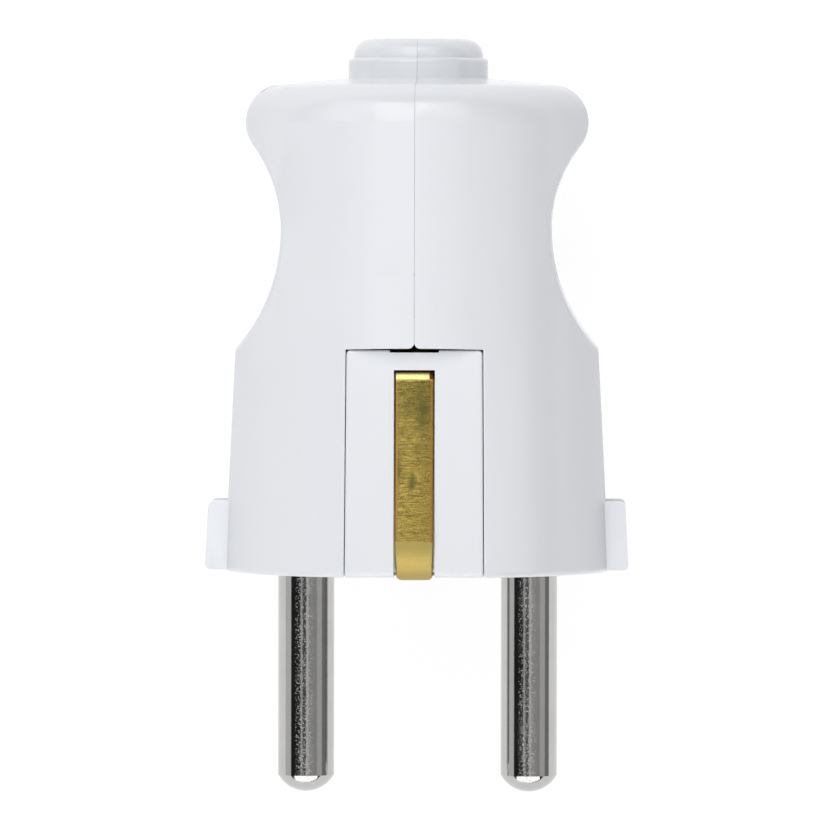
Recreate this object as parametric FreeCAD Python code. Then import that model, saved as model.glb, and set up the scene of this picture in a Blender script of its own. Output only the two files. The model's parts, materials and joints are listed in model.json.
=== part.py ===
"""Straight rewirable type F plug with two round pins and side earth contacts.

The plug is modelled in its own axes: X runs from pin to pin, the front panel faces -Y,
Z runs from the pin tips to the cord entry, and the engagement face lies at Z = 0.
At the end every piece is turned together, so that the plug lies on its rear side.
"""

import FreeCAD
import Part
import os
from math import asin, atan2, cos, degrees, hypot, pi, sin, sqrt, tan

from FreeCAD import Placement, Rotation, Vector

# Contact pins, from the standard sheet
PIN_DIAMETER = 4.8
PIN_SPACING = 19.0
PIN_REACH = 18.9
PIN_TIP_HEIGHT = 1.43
PIN_NECK_DIAMETER = 4.2
PIN_COLLAR_DIAMETER = 6.8
PIN_COLLAR_HEIGHT = 1.4
PIN_HEAD_DIAMETER = 6.2
PIN_HEAD_TOP = 15.0
PIN_SEAT_DEPTH = 0.3
WIRE_HOLE_DIAMETER = 3.2
WIRE_HOLE_DEPTH = 8.0
WIRE_CLEARANCE = 0.2
PIN_HEAD_BEVEL = 0.3
PIN_STOP_HALF = 5.5
PIN_STOP_HEIGHT = 1.5

# Housing outline
FACE_RADIUS = 16.8
SIDE_FLAT_DEPTH = 0.48
SIDE_FLAT = FACE_RADIUS - SIDE_FLAT_DEPTH
DRAFT = 0.0345
FLAT_DRAFT = 0.0506
FOOT_ROUND = 0.5
DOME_SLOPE = 0.09
RIM_HALF = 14.5
RIM_ROUND = 3.25
WAIST_HALF = 11.34
WAIST_DROP = 9.11
SHOULDER_DROP = 10.05
GRIP_EDGE_ROUND = 1.0
COLLAR_RADIUS = 5.94
COLLAR_FOOT = 41.85
COLLAR_HEIGHT = 1.75
COLLAR_STEP = 0.44
COLLAR_LEDGE_FLAT = 0.04
NECK_HEIGHT = 1.6
NECK_STRAIGHT = 0.15
CORD_BORE_RADIUS = 4.0
WALL = 1.7
SEAM_RELIEF = 0.01
BROW_ANGLE = 70 * pi / 180
CROWN_RUN = 4.0
SCOOP_MARGIN = 0.5

# Heights that follow from the housing's sizes, the rim being tangent to the dome
COLLAR_LEDGE = COLLAR_FOOT + COLLAR_HEIGHT
BODY_HEIGHT = COLLAR_LEDGE + NECK_HEIGHT
NECK_ROUND = NECK_HEIGHT - NECK_STRAIGHT
NECK_RADIUS = COLLAR_RADIUS - COLLAR_STEP
COLLAR_ROUND = COLLAR_STEP - COLLAR_LEDGE_FLAT
RIM_RUN = RIM_HALF - RIM_ROUND - COLLAR_RADIUS
RIM_HEIGHT = COLLAR_FOOT - DOME_SLOPE * RIM_RUN - RIM_ROUND * sqrt(1 + DOME_SLOPE**2)
WAIST_HEIGHT = RIM_HEIGHT - WAIST_DROP
SHOULDER_HEIGHT = WAIST_HEIGHT - SHOULDER_DROP

# Guide ears, in pairs beside the groove for the socket's nose
EAR_REACH = 17.97
EAR_HEIGHT = 5.98
EAR_FOOT = 0.2
EAR_INNER = 2.9
EAR_OUTER = 4.75
EAR_ROUND = 0.45

# Contact carrier
FIT = 0.08
FACE_RING = 3.9
FLANGE_STEP = 1.3
CARRIER_FACE_RADIUS = FACE_RADIUS - FACE_RING
CARRIER_FLANGE_RADIUS = CARRIER_FACE_RADIUS + FLANGE_STEP
CARRIER_FLANGE_FOOT = 1.5
CARRIER_DISC_HEIGHT = 2.95
HOLD_DOWN_RIB = 1.2
HOLD_DOWN_LAP = 1.0
HOLD_DOWN_RADIUS = CARRIER_FLANGE_RADIUS - HOLD_DOWN_LAP
PANEL_HALF_FOOT = 5.8
PANEL_HALF_TOP = 5.68
PANEL_HEIGHT = 19.0
PANEL_THICKNESS = 4.9
PANEL_BACK = FACE_RADIUS - PANEL_THICKNESS
PANEL_BACK_GAP = 0.9
PANEL_GAP = 0.06
PANEL_TOP_GAP = 0.16
PANEL_NOTCH_WIDTH = 4.1
PANEL_NOTCH_DEPTH = 0.18
PANEL_EDGE_ROUND = 0.2
PANEL_CORNER_ROUND = 0.35
WINDOW_EDGE_ROUND = 0.12
SEAM_CORNER_ROUND = 0.5
WEB_THICKNESS = 2.8
WEB_SINK = 0.5
BOSS_SIDE = 10.4
BOSS_ROUND = 1.2
DISC_EDGE_ROUND = 0.2
BAR_HEIGHT = 1.65
BAR_THICKNESS = 0.95

# Earth strip
STRIP_WIDTH = 3.28
STRIP_TOE_WIDTH = 3.0
STRIP_THICKNESS = 0.6
STRIP_TOE_HEIGHT = 2.9
STRIP_DROP = 0.3
STRIP_COVER = 0.1
STRIP_LEDGE = PANEL_HEIGHT - STRIP_COVER - STRIP_THICKNESS
STRIP_PROUD = 0.35
STRIP_RECESS = 0.3
STRIP_TOE_ROUND = 3.1
STRIP_TOE_CORNER = 0.45
STRIP_BEND = 0.5
STRIP_BROW_DROP = 0.95
STRIP_BROW_BEND = 0.35
STRIP_FACET_RISE = 0.55
STRIP_FACET_LEAN = 0.2
STRIP_HOOK_DEPTH = 1.2
STRIP_PAD = 8.0
STRIP_PAD_ROUND = 1.5
SLOT_SIDE_GAP = 0.075
SLOT_WIDTH = STRIP_WIDTH + 2 * SLOT_SIDE_GAP
SLOT_TOP = PANEL_HEIGHT - BAR_HEIGHT
TOE_BACKING = 0.9
TOE_RELIEF = 0.05

# Fasteners: thread radius, head radius and head height
EARTH_SCREW = (2.0, 3.5, 2.4)
EARTH_SCREW_LENGTH = 8.0
EARTH_NUT_FLATS = 7.0
EARTH_NUT_HEIGHT = 3.0
EARTH_WASHER_RADIUS = 4.0
EARTH_WASHER_HEIGHT = 0.8
EARTH_BORE_RUNOUT = 0.5
TERMINAL_SCREW = (1.5, 2.5, 1.8)
TERMINAL_SCREW_HEIGHT = 11.0
TERMINAL_SCREW_RISE = 0.4
TERMINAL_SCREW_BITE = 0.6
HOUSING_SCREW = (1.5, 2.8, 2.2)
HOUSING_SCREW_HEIGHT = 27.2
HOUSING_SEAT = 8.8
HOUSING_NUT_FLATS = 5.5
HOUSING_NUT_HEIGHT = 2.4
PILLAR_RADIUS = 3.0
PILLAR_SLEEVE = 1.4
PILLAR_STEP = 1.5
SPIGOT_WALL = 0.7
SPIGOT_HEIGHT = 1.0
CLAMP_SCREW = (1.5, 2.2, 1.8)
CLAMP_HEIGHT = 35.4
CLAMP_SPREAD = 6.6
CLAMP_SEAT = 2.4
CLAMP_BAR_HEIGHT = 2.4
CLAMP_BAR_WIDTH = 5.0
CLAMP_BOSS_RADIUS = 2.4
CLAMP_SCREW_LENGTH = 9.9
CLAMP_BITE = 0.9
CLAMP_RIB_DEPTH = 2.3
CLAMP_RIB_SPACING = 3.2
CLAMP_RIB_THICKNESS = 1.0
CLAMP_SADDLE_RADIUS = 3.9
DRIVER_SLOT = 0.8
SCREW_EDGE = 0.3
SCREW_RUNOUT = 0.8
INNER_ROOM = 0.3
PIN_ROOM = 0.2

# Pegs that line the shells up
PEG_RADIUS = 0.9
PEG_LENGTH = 1.6
PEG_BOSS_RADIUS = 1.7
PEG_BOSS_REACH = 7.0
PEG_HEIGHT = 23.5

PART_FOLDER = "parts"
OVERCUT = 1.0
FAR = 60.0


def body_radius(height):
    """Radius of the tapered housing at a height above the face."""
    return FACE_RADIUS - DRAFT * height


def side_half(height):
    """Half the width across the drafted side flats at a height above the face."""
    return SIDE_FLAT - FLAT_DRAFT * height


def panel_half(height):
    """Half the width of the carrier's panel at a height above the face."""
    return PANEL_HALF_FOOT + (PANEL_HALF_TOP - PANEL_HALF_FOOT) * height / PANEL_HEIGHT


def panel_depth(height):
    """Distance of the flat panel from the axis: a chord of the tapered housing."""
    return sqrt(body_radius(height) ** 2 - panel_half(height) ** 2)


def box(low, high):
    """Box between two opposite corners."""
    size = [b - a for a, b in zip(low, high)]
    return Part.makeBox(*size, Vector(*low))


def rod(radius, start, end):
    """Cylinder between two points."""
    start, end = Vector(*start), Vector(*end)
    return Part.makeCylinder(radius, (end - start).Length, start, end - start)


def prism(flats, start, end):
    """Hexagonal prism between two points, given its width across flats."""
    start, end = Vector(*start), Vector(*end)
    corner = flats / sqrt(3.0)
    ring = [Vector(corner * cos(k * pi / 3), corner * sin(k * pi / 3), 0) for k in range(7)]
    solid = Part.Face(Part.makePolygon(ring)).extrude(Vector(0, 0, (end - start).Length))
    solid.Placement = Placement(start, Rotation(Vector(0, 0, 1), end - start))
    return solid


def corner_arc(before, corner, after, radius):
    """Centre of the arc that rounds a corner, and the arc's two ends."""
    back = (before - corner).normalize()
    ahead = (after - corner).normalize()
    half = back.getAngle(ahead) / 2
    reach = radius / tan(half)
    centre = corner + (back + ahead).normalize() * (radius / sin(half))
    return centre, corner + back * reach, corner + ahead * reach


def rounded_edges(points, rounds, closed):
    """Lines through 2D points with a tangent arc of the given radius at each corner.

    Points are (across, up) pairs and come back as edges in the XZ plane.
    """
    flat = [Vector(across, 0, up) for across, up in points]
    count = len(flat)
    arrive, leave, arcs = [], [], []
    for k, corner in enumerate(flat):
        radius = rounds[k]
        inner = closed or 0 < k < count - 1
        if not radius or not inner:
            arrive.append(corner)
            leave.append(corner)
            arcs.append(None)
            continue
        centre, start, end = corner_arc(flat[k - 1], corner, flat[(k + 1) % count], radius)
        arrive.append(start)
        leave.append(end)
        arcs.append(centre + (corner - centre).normalize() * radius)
    edges = []
    for k in range(count):
        if arcs[k]:
            edges.append(Part.Arc(arrive[k], arcs[k], leave[k]).toShape())
        if k < count - 1 or closed:
            following = arrive[(k + 1) % count]
            if leave[k].distanceToPoint(following) > 1e-7:
                edges.append(Part.makeLine(leave[k], following))
    return edges


def outline_face(points, rounds):
    """Face in the XZ plane from a closed outline with rounded corners."""
    return Part.Face(Part.Wire(rounded_edges(points, rounds, True)))


def turned(points, rounds):
    """Solid of revolution about Z from an outline of (radius, height) points."""
    return outline_face(points, rounds).revolve(Vector(), Vector(0, 0, 1), 360)


def body_outline(inset, foot):
    """Half section of the tapered round housing: its points and corner rounds.

    The outside (no inset) carries the stepped cord collar above the dome.
    """
    dome_level = COLLAR_FOOT - inset
    run = (body_radius(dome_level) - inset - COLLAR_RADIUS) / (1 - DOME_SLOPE * DRAFT)
    edge = (COLLAR_RADIUS + run, dome_level - DOME_SLOPE * run)
    points = [(0, foot), (body_radius(foot) - inset, foot), edge]
    rounds = [0, 0 if inset else FOOT_ROUND, RIM_ROUND - inset]
    if inset:
        points += [(COLLAR_RADIUS, dome_level), (0, dome_level)]
        rounds += [0, 0]
    else:
        points += [
            (COLLAR_RADIUS, dome_level),
            (COLLAR_RADIUS, COLLAR_LEDGE),
            (NECK_RADIUS, COLLAR_LEDGE),
            (NECK_RADIUS, BODY_HEIGHT),
            (0, BODY_HEIGHT),
        ]
        rounds += [0, COLLAR_ROUND, 0, NECK_ROUND, 0]
    return points, rounds


def grip_prism(inset, foot):
    """Prism along Y of the front outline: drafted flats, finger scoops and rounded rim."""
    drop = WAIST_HEIGHT - SHOULDER_HEIGHT
    lean = side_half(SHOULDER_HEIGHT) - WAIST_HALF
    lower_arc = (lean**2 + drop**2) / (2 * lean)
    rim = (RIM_HALF - RIM_ROUND, RIM_HEIGHT)
    rise = RIM_HEIGHT - WAIST_HEIGHT
    step = WAIST_HALF - rim[0]
    upper_arc = (step**2 + rise**2 - RIM_ROUND**2) / (2 * (RIM_ROUND - step))

    centre = WAIST_HALF + lower_arc
    reach = lower_arc + inset
    base = centre - SIDE_FLAT + inset
    a = 1 + FLAT_DRAFT**2
    b = base * FLAT_DRAFT - WAIST_HEIGHT
    c = base**2 + WAIST_HEIGHT**2 - reach**2
    shoulder = (-b - sqrt(b**2 - a * c)) / a

    def on_circle(middle, radius, angle):
        return Vector(middle[0] + radius * cos(angle), 0, middle[1] + radius * sin(angle))

    lower = (WAIST_HALF + lower_arc, WAIST_HEIGHT)
    upper = (WAIST_HALF + upper_arc, WAIST_HEIGHT)
    waist = Vector(WAIST_HALF - inset, 0, WAIST_HEIGHT)
    foot_corner = Vector(side_half(foot) - inset, 0, foot)
    shoulder_corner = Vector(side_half(shoulder) - inset, 0, shoulder)
    start_angle = atan2(shoulder - lower[1], shoulder_corner.x - lower[0])
    lower_middle = on_circle(lower, reach, (start_angle - pi) / 2)
    touch_angle = atan2(rim[1] - upper[1], rim[0] - upper[0])
    touch = on_circle(upper, upper_arc + inset, touch_angle)
    upper_middle = on_circle(upper, upper_arc + inset, (touch_angle + pi) / 2)
    rim_middle = on_circle(rim, RIM_ROUND - inset, (touch_angle - pi + BROW_ANGLE) / 2)
    brow = on_circle(rim, RIM_ROUND - inset, BROW_ANGLE)
    crown = Vector(brow.x - CROWN_RUN, 0, brow.z + CROWN_RUN / tan(BROW_ANGLE))
    top = Vector(crown.x, 0, FAR)

    edges = []
    if not inset:
        corner = rounded_edges(
            [(0, foot), (foot_corner.x, foot), (shoulder_corner.x, shoulder)],
            [0, FOOT_ROUND, 0],
            False,
        )
        edges += corner
    else:
        edges.append(Part.makeLine(Vector(0, 0, foot), foot_corner))
        edges.append(Part.makeLine(foot_corner, shoulder_corner))
    edges.append(Part.Arc(shoulder_corner, lower_middle, waist).toShape())
    edges.append(Part.Arc(waist, upper_middle, touch).toShape())
    edges.append(Part.Arc(touch, rim_middle, brow).toShape())
    edges.append(Part.makeLine(brow, crown))
    edges.append(Part.makeLine(crown, top))
    edges.append(Part.makeLine(top, Vector(0, 0, FAR)))
    edges.append(Part.makeLine(Vector(0, 0, FAR), Vector(0, 0, foot)))
    half = Part.Face(Part.Wire(edges)).extrude(Vector(0, 2 * FAR, 0))
    half.translate(Vector(0, -FAR, 0))
    return half.fuse(half.mirror(Vector(), Vector(1, 0, 0))).removeSplitter()


def grip_edges(solid):
    """Edges where the finger scoops run out into the tapered body."""
    found = []
    for edge in solid.Edges:
        middle = edge.valueAt((edge.FirstParameter + edge.LastParameter) / 2)
        in_scoop = SHOULDER_HEIGHT + SCOOP_MARGIN < middle.z < RIM_HEIGHT - SCOOP_MARGIN
        if in_scoop and abs(middle.y) > EAR_OUTER and edge.Length > 2 * GRIP_EDGE_ROUND:
            found.append(edge)
    return found


def housing_body():
    """Outside of both shells together, with the scoops' edges rounded and the ears on."""
    body = turned(*body_outline(0, 0)).common(grip_prism(0, 0)).removeSplitter()
    edges = grip_edges(body)
    body = body.makeFillet(GRIP_EDGE_ROUND, edges)
    return body.fuse(ears())


def ears():
    """Two pairs of guide ears that stand on the side flats."""
    root = side_half(EAR_HEIGHT) - WALL / 2
    points = [
        (root, EAR_FOOT),
        (EAR_REACH, EAR_FOOT),
        (EAR_REACH - FLAT_DRAFT * EAR_HEIGHT, EAR_HEIGHT),
        (root, EAR_HEIGHT),
    ]
    one = outline_face(points, [0, EAR_ROUND, EAR_ROUND, 0])
    one = one.extrude(Vector(0, EAR_OUTER - EAR_INNER, 0))
    one.translate(Vector(0, EAR_INNER, 0))
    pair = [one, one.mirror(Vector(), Vector(0, 1, 0))]
    return pair + [ear.mirror(Vector(), Vector(1, 0, 0)) for ear in pair]


def cavity():
    """Hollow of the housing: wiring chamber, carrier seat and cord bore."""
    rib_top = CARRIER_DISC_HEIGHT + FIT + HOLD_DOWN_RIB
    chamber = turned(*body_outline(WALL, rib_top)).common(grip_prism(WALL, rib_top))
    seat = turned(
        [
            (0, -OVERCUT),
            (CARRIER_FACE_RADIUS + FIT, -OVERCUT),
            (CARRIER_FACE_RADIUS + FIT, CARRIER_FLANGE_FOOT - FIT),
            (CARRIER_FLANGE_RADIUS + FIT, CARRIER_FLANGE_FOOT - FIT),
            (CARRIER_FLANGE_RADIUS + FIT, CARRIER_DISC_HEIGHT + FIT),
            (HOLD_DOWN_RADIUS, CARRIER_DISC_HEIGHT + FIT),
            (HOLD_DOWN_RADIUS, rib_top + WALL),
            (0, rib_top + WALL),
        ],
        [0] * 8,
    )
    inside = COLLAR_FOOT - WALL - OVERCUT
    bore = rod(CORD_BORE_RADIUS, (0, 0, inside), (0, 0, BODY_HEIGHT + OVERCUT))
    return chamber.fuse([seat, bore])


def panel_window():
    """Opening through the front and rear walls for the carrier's panels."""
    top = PANEL_HEIGHT + PANEL_TOP_GAP
    corner = PANEL_HEIGHT + PANEL_GAP
    left = Vector(-panel_half(corner) - PANEL_GAP, -FAR, corner)
    right = Vector(-left.x, -FAR, corner)
    foot = Vector(panel_half(-OVERCUT) + PANEL_GAP, -FAR, -OVERCUT)
    across_foot = Vector(-foot.x, -FAR, -OVERCUT)
    edges = [
        Part.makeLine(across_foot, left),
        Part.Arc(left, Vector(0, -FAR, top), right).toShape(),
        Part.makeLine(right, foot),
        Part.makeLine(foot, across_foot),
    ]
    window = Part.Face(Part.Wire(edges)).extrude(Vector(0, 2 * FAR, 0))
    cusp_side = SEAM_RELIEF + SEAM_CORNER_ROUND
    cusp = box((-cusp_side, -FAR, corner), (cusp_side, FAR, top + SEAM_CORNER_ROUND))
    for side in (-1, 1):
        at = (side * cusp_side, -2 * FAR, top + SEAM_CORNER_ROUND)
        cusp = cusp.cut(rod(SEAM_CORNER_ROUND, at, (at[0], 2 * FAR, at[2])))
    opening = window.fuse(cusp)
    clear = PANEL_BACK - PANEL_BACK_GAP
    return opening.cut(box((-FAR, -clear, -FAR), (FAR, clear, FAR)))


def half_space(side, gap):
    """Everything on one side of the parting plane, less a gap."""
    ends = sorted((side * gap, side * FAR))
    return box((ends[0], -FAR, -FAR), (ends[1], FAR, FAR))


def shell_ribs(side):
    """Inner features of one shell: screw pillar, pin stop and locating bosses."""
    level = HOUSING_SCREW_HEIGHT
    sleeve = HOUSING_SCREW[1] + FIT + PILLAR_SLEEVE
    neck = HOUSING_SEAT - PILLAR_STEP
    adds = [
        rod(PILLAR_RADIUS, (0, 0, level), (side * FAR, 0, level)),
        rod(sleeve, (side * neck, 0, level), (side * FAR, 0, level)),
    ]
    pin = PIN_SPACING / 2
    stop_foot = PIN_HEAD_TOP + FIT
    stop_face = pin - PIN_HEAD_DIAMETER / 2
    stop_top = stop_foot + PIN_STOP_HEIGHT
    stop = box((stop_face, -PIN_STOP_HALF, stop_foot), (FAR, PIN_STOP_HALF, stop_top))
    wire = WIRE_HOLE_DIAMETER / 2 + WIRE_CLEARANCE
    stop = stop.cut(box((0, -wire, 0), (pin, wire, FAR)))
    stop = stop.cut(rod(wire, (pin, 0, 0), (pin, 0, FAR)))
    if side < 0:
        stop = stop.mirror(Vector(), Vector(1, 0, 0))
    adds.append(stop)
    wall = body_radius(PEG_HEIGHT) - WALL
    for face in (-1, 1):
        depth = face * (wall - PEG_BOSS_RADIUS)
        end = side * PEG_BOSS_REACH
        boss = rod(PEG_BOSS_RADIUS, (0, depth, PEG_HEIGHT), (end, depth, PEG_HEIGHT))
        low, high = sorted((0, end))
        half = PEG_BOSS_RADIUS
        foot = box((low, -half, -half), (high, half, half))
        foot.translate(Vector(0, depth + face * half, PEG_HEIGHT))
        if side < 0:
            boss = boss.fuse(peg(face, 0))
        adds += [boss, foot]
    return adds


def housing_hole(side):
    """Bore, counterbore or nut pocket for the screw that joins the shells."""
    level = HOUSING_SCREW_HEIGHT
    bore = rod(HOUSING_SCREW[0] + FIT, (-side * OVERCUT, 0, level), (side * FAR, 0, level))
    seat, end = (side * HOUSING_SEAT, 0, level), (side * FAR, 0, level)
    if side < 0:
        return bore.fuse(rod(HOUSING_SCREW[1] + 3 * FIT, seat, end))
    return bore.fuse(prism(HOUSING_NUT_FLATS + 2 * FIT, seat, end))


def clamp_seat():
    """Two screw bosses and two saddle ribs that carry the cord clamp in the left shell."""
    adds = []
    for face in (-1, 1):
        at = face * CLAMP_SPREAD
        seat, root = (CLAMP_SEAT, at, CLAMP_HEIGHT), (-FAR, at, CLAMP_HEIGHT)
        adds.append(rod(CLAMP_BOSS_RADIUS, seat, root))
    reach = CLAMP_SPREAD - CLAMP_BOSS_RADIUS / 2
    half = CLAMP_RIB_THICKNESS / 2
    for face in (-1, 1):
        level = CLAMP_HEIGHT + face * CLAMP_RIB_SPACING / 2
        rib = box((-FAR, -reach, level - half), (-CLAMP_RIB_DEPTH, reach, level + half))
        adds.append(rib.cut(rod(CLAMP_SADDLE_RADIUS, (0, 0, 0), (0, 0, FAR))))
    return adds


def clamp_room():
    """Room that the right shell keeps free for the clamp's bosses, bar and screw heads."""
    top = CLAMP_SEAT + CLAMP_BAR_HEIGHT
    end = CLAMP_SPREAD + CLAMP_BOSS_RADIUS + INNER_ROOM
    half = CLAMP_BAR_WIDTH / 2 + INNER_ROOM
    low, high = (0, -end, CLAMP_HEIGHT - half), (top + INNER_ROOM, end, CLAMP_HEIGHT + half)
    rooms = [box(low, high)]
    for face in (-1, 1):
        at = face * CLAMP_SPREAD
        end = top + CLAMP_SCREW[2] + INNER_ROOM
        rooms.append(rod(CLAMP_SCREW[1] + INNER_ROOM, (0, at, CLAMP_HEIGHT), (end, at, CLAMP_HEIGHT)))
    return rooms


def earth_room():
    """Room that both shells keep free for the earth terminal's screw and washer."""
    foot = STRIP_LEDGE + STRIP_THICKNESS
    top = foot + EARTH_WASHER_HEIGHT + EARTH_SCREW[2] + INNER_ROOM
    return rod(EARTH_WASHER_RADIUS + INNER_ROOM, (0, 0, foot), (0, 0, top))


def clamp_bores():
    """Threaded bores of the two clamp screws."""
    bores = []
    for face in (-1, 1):
        at = face * CLAMP_SPREAD
        end = CLAMP_SEAT + CLAMP_BAR_HEIGHT - CLAMP_SCREW_LENGTH - SCREW_RUNOUT
        bores.append(rod(CLAMP_SCREW[0] + FIT, (FAR, at, CLAMP_HEIGHT), (end, at, CLAMP_HEIGHT)))
    return bores


def peg(face, room):
    """Locating peg across the parting plane, or its hole when given some room."""
    depth = face * (body_radius(PEG_HEIGHT) - WALL - PEG_BOSS_RADIUS)
    foot, end = (-PEG_RADIUS, depth, PEG_HEIGHT), (PEG_LENGTH + room, depth, PEG_HEIGHT)
    return rod(PEG_RADIUS + room, foot, end)


def pin_room(side):
    """Room that the mouldings keep free around a pin's neck, collar and head."""
    at = side * PIN_SPACING / 2
    neck, collar = PIN_DIAMETER / 2 + PIN_ROOM, PIN_COLLAR_DIAMETER / 2 + PIN_ROOM
    collar_top = CARRIER_DISC_HEIGHT + PIN_COLLAR_HEIGHT + PIN_ROOM
    rooms = [rod(neck, (at, 0, -OVERCUT), (at, 0, CARRIER_DISC_HEIGHT))]
    rooms.append(rod(collar, (at, 0, CARRIER_DISC_HEIGHT), (at, 0, collar_top)))
    rooms.append(rod(PIN_HEAD_DIAMETER / 2 + FIT, (at, 0, collar_top), (at, 0, PIN_HEAD_TOP + FIT)))
    return rooms


def window_edges(solid):
    """Upright outer edges of a shell beside the carrier's panels."""
    found = []
    for edge in solid.Edges:
        middle = edge.valueAt((edge.FirstParameter + edge.LastParameter) / 2)
        beside = abs(abs(middle.x) - panel_half(middle.z) - PANEL_GAP) < FIT / 4
        outside = hypot(middle.x, middle.y) > body_radius(middle.z) - FIT
        if beside and outside and edge.Length > PANEL_HEIGHT / 2:
            found.append(edge)
    return found


def shell(side, outside, hollow):
    """One moulded half of the housing; side is -1 for the left half and 1 for the right."""
    walls = outside.cut(hollow).common(half_space(side, SEAM_RELIEF))
    ribs = [rib.common(outside) for rib in shell_ribs(side)]
    if side < 0:
        ribs += [rib.common(outside) for rib in clamp_seat()]
    solid = walls.fuse(ribs)
    solid = solid.cut([housing_hole(side), panel_window(), earth_room()] + pin_room(side))
    level = HOUSING_SCREW_HEIGHT
    spigot = HOUSING_SCREW[0] + FIT + SPIGOT_WALL
    if side < 0:
        collar = rod(spigot, (0, 0, level), (SPIGOT_HEIGHT, 0, level))
        collar = collar.cut(rod(HOUSING_SCREW[0] + FIT, (-FAR, 0, level), (FAR, 0, level)))
        solid = solid.fuse(collar).cut(clamp_bores())
    else:
        socket = rod(spigot + FIT, (-OVERCUT, 0, level), (SPIGOT_HEIGHT + FIT, 0, level))
        holes = [socket] + [peg(face, FIT) for face in (-1, 1)]
        solid = solid.cut(holes + clamp_room())
    solid = solid.removeSplitter()
    return solid.makeFillet(WINDOW_EDGE_ROUND, window_edges(solid))


def strip_points():
    """Middle line of one strip leg as (outward, up) points, with its bend radii."""
    half = STRIP_THICKNESS / 2
    bar_back = panel_depth(PANEL_HEIGHT) - BAR_THICKNESS - FIT - half
    brow_level = SLOT_TOP - STRIP_BROW_DROP
    brow = panel_depth(brow_level) - STRIP_RECESS - half
    toe = panel_depth(STRIP_TOE_HEIGHT) + STRIP_PROUD - half
    lean = (toe - brow) / (brow_level - STRIP_TOE_HEIGHT)
    sole = half - STRIP_DROP
    tip = toe + lean * (STRIP_TOE_HEIGHT - sole)
    hook = PANEL_BACK - STRIP_HOOK_DEPTH
    facet, facet_top = brow - STRIP_FACET_LEAN, brow_level + STRIP_FACET_RISE
    points = [
        (0, STRIP_LEDGE + half),
        (bar_back, STRIP_LEDGE + half),
        (bar_back, facet_top + (facet - bar_back)),
        (facet, facet_top),
        (brow, brow_level),
        (tip, sole),
        (hook, sole),
        (hook, CARRIER_FLANGE_FOOT),
    ]
    brow_bend, toe_bend = STRIP_BROW_BEND, STRIP_TOE_ROUND - half
    rounds = [0, STRIP_BEND, brow_bend, brow_bend, brow_bend, toe_bend, STRIP_BEND, 0]
    return points, rounds


def band(points, rounds, thickness):
    """Closed outline of a bent band of even thickness about its middle line."""
    flat = [Vector(across, 0, up) for across, up in points]
    sides = []
    for sign in (-1, 1):
        shifted, radii = [], []
        for k, point in enumerate(flat):
            before = (point - flat[k - 1]).normalize() if k else None
            after = (flat[k + 1] - point).normalize() if k + 1 < len(flat) else None
            one = before or after
            two = after or before
            normals = [Vector(-d.z, 0, d.x) for d in (one, two)]
            mitre = (normals[0] + normals[1]).normalize()
            reach = thickness / 2 / mitre.dot(normals[0])
            shifted.append(point + mitre * (sign * reach))
            turn = one.cross(two).y
            grow = sign * thickness / 2 * (1 if turn > 0 else -1)
            radii.append(max(rounds[k] + grow, 0.02) if rounds[k] else 0)
        sides.append((shifted, radii))
    first, second = sides
    loop = first[0] + second[0][::-1]
    radii = first[1] + second[1][::-1]
    return outline_face([(p.x, p.z) for p in loop], radii)


def across(face, width):
    """Extrude an outline drawn as (outward, up) to a width about the middle, facing the front."""
    solid = face.extrude(Vector(0, width, 0))
    solid.translate(Vector(0, -width / 2, 0))
    solid.rotate(Vector(), Vector(0, 0, 1), -90)
    return solid


def both_sides(solid):
    """A solid and its mirror image behind the pin plane."""
    return [solid, solid.mirror(Vector(), Vector(0, 1, 0))]


def earth_strip():
    """Brass strip bent over the carrier, with a contact leg on each side and a terminal pad."""
    points, rounds = strip_points()
    leg = across(band(points, rounds, STRIP_THICKNESS), STRIP_WIDTH)
    toe, sole = STRIP_TOE_WIDTH / 2, -STRIP_DROP - FIT / 8
    full = STRIP_WIDTH / 2 + FIT / 8
    right = [(toe, sole), (full, STRIP_TOE_HEIGHT), (full, FAR)]
    left = [(-x, z) for x, z in right[::-1]]
    trim = outline_face(right + left, [STRIP_TOE_CORNER, 0, 0, 0, 0, STRIP_TOE_CORNER])
    trim = trim.extrude(Vector(0, 2 * FAR, 0))
    trim.translate(Vector(0, -FAR, 0))
    leg = leg.common(trim)
    half = STRIP_PAD / 2
    pad = box((-half, -half, STRIP_LEDGE), (half, half, STRIP_LEDGE + STRIP_THICKNESS))
    upright = [e for e in pad.Edges if abs(e.Length - STRIP_THICKNESS) < 1e-6]
    pad = pad.makeFillet(STRIP_PAD_ROUND, upright)
    hole = rod(EARTH_SCREW[0] + FIT, (0, 0, 0), (0, 0, FAR))
    front, rear = both_sides(leg)
    return front.fuse([rear, pad]).cut(hole).removeSplitter()


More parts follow.
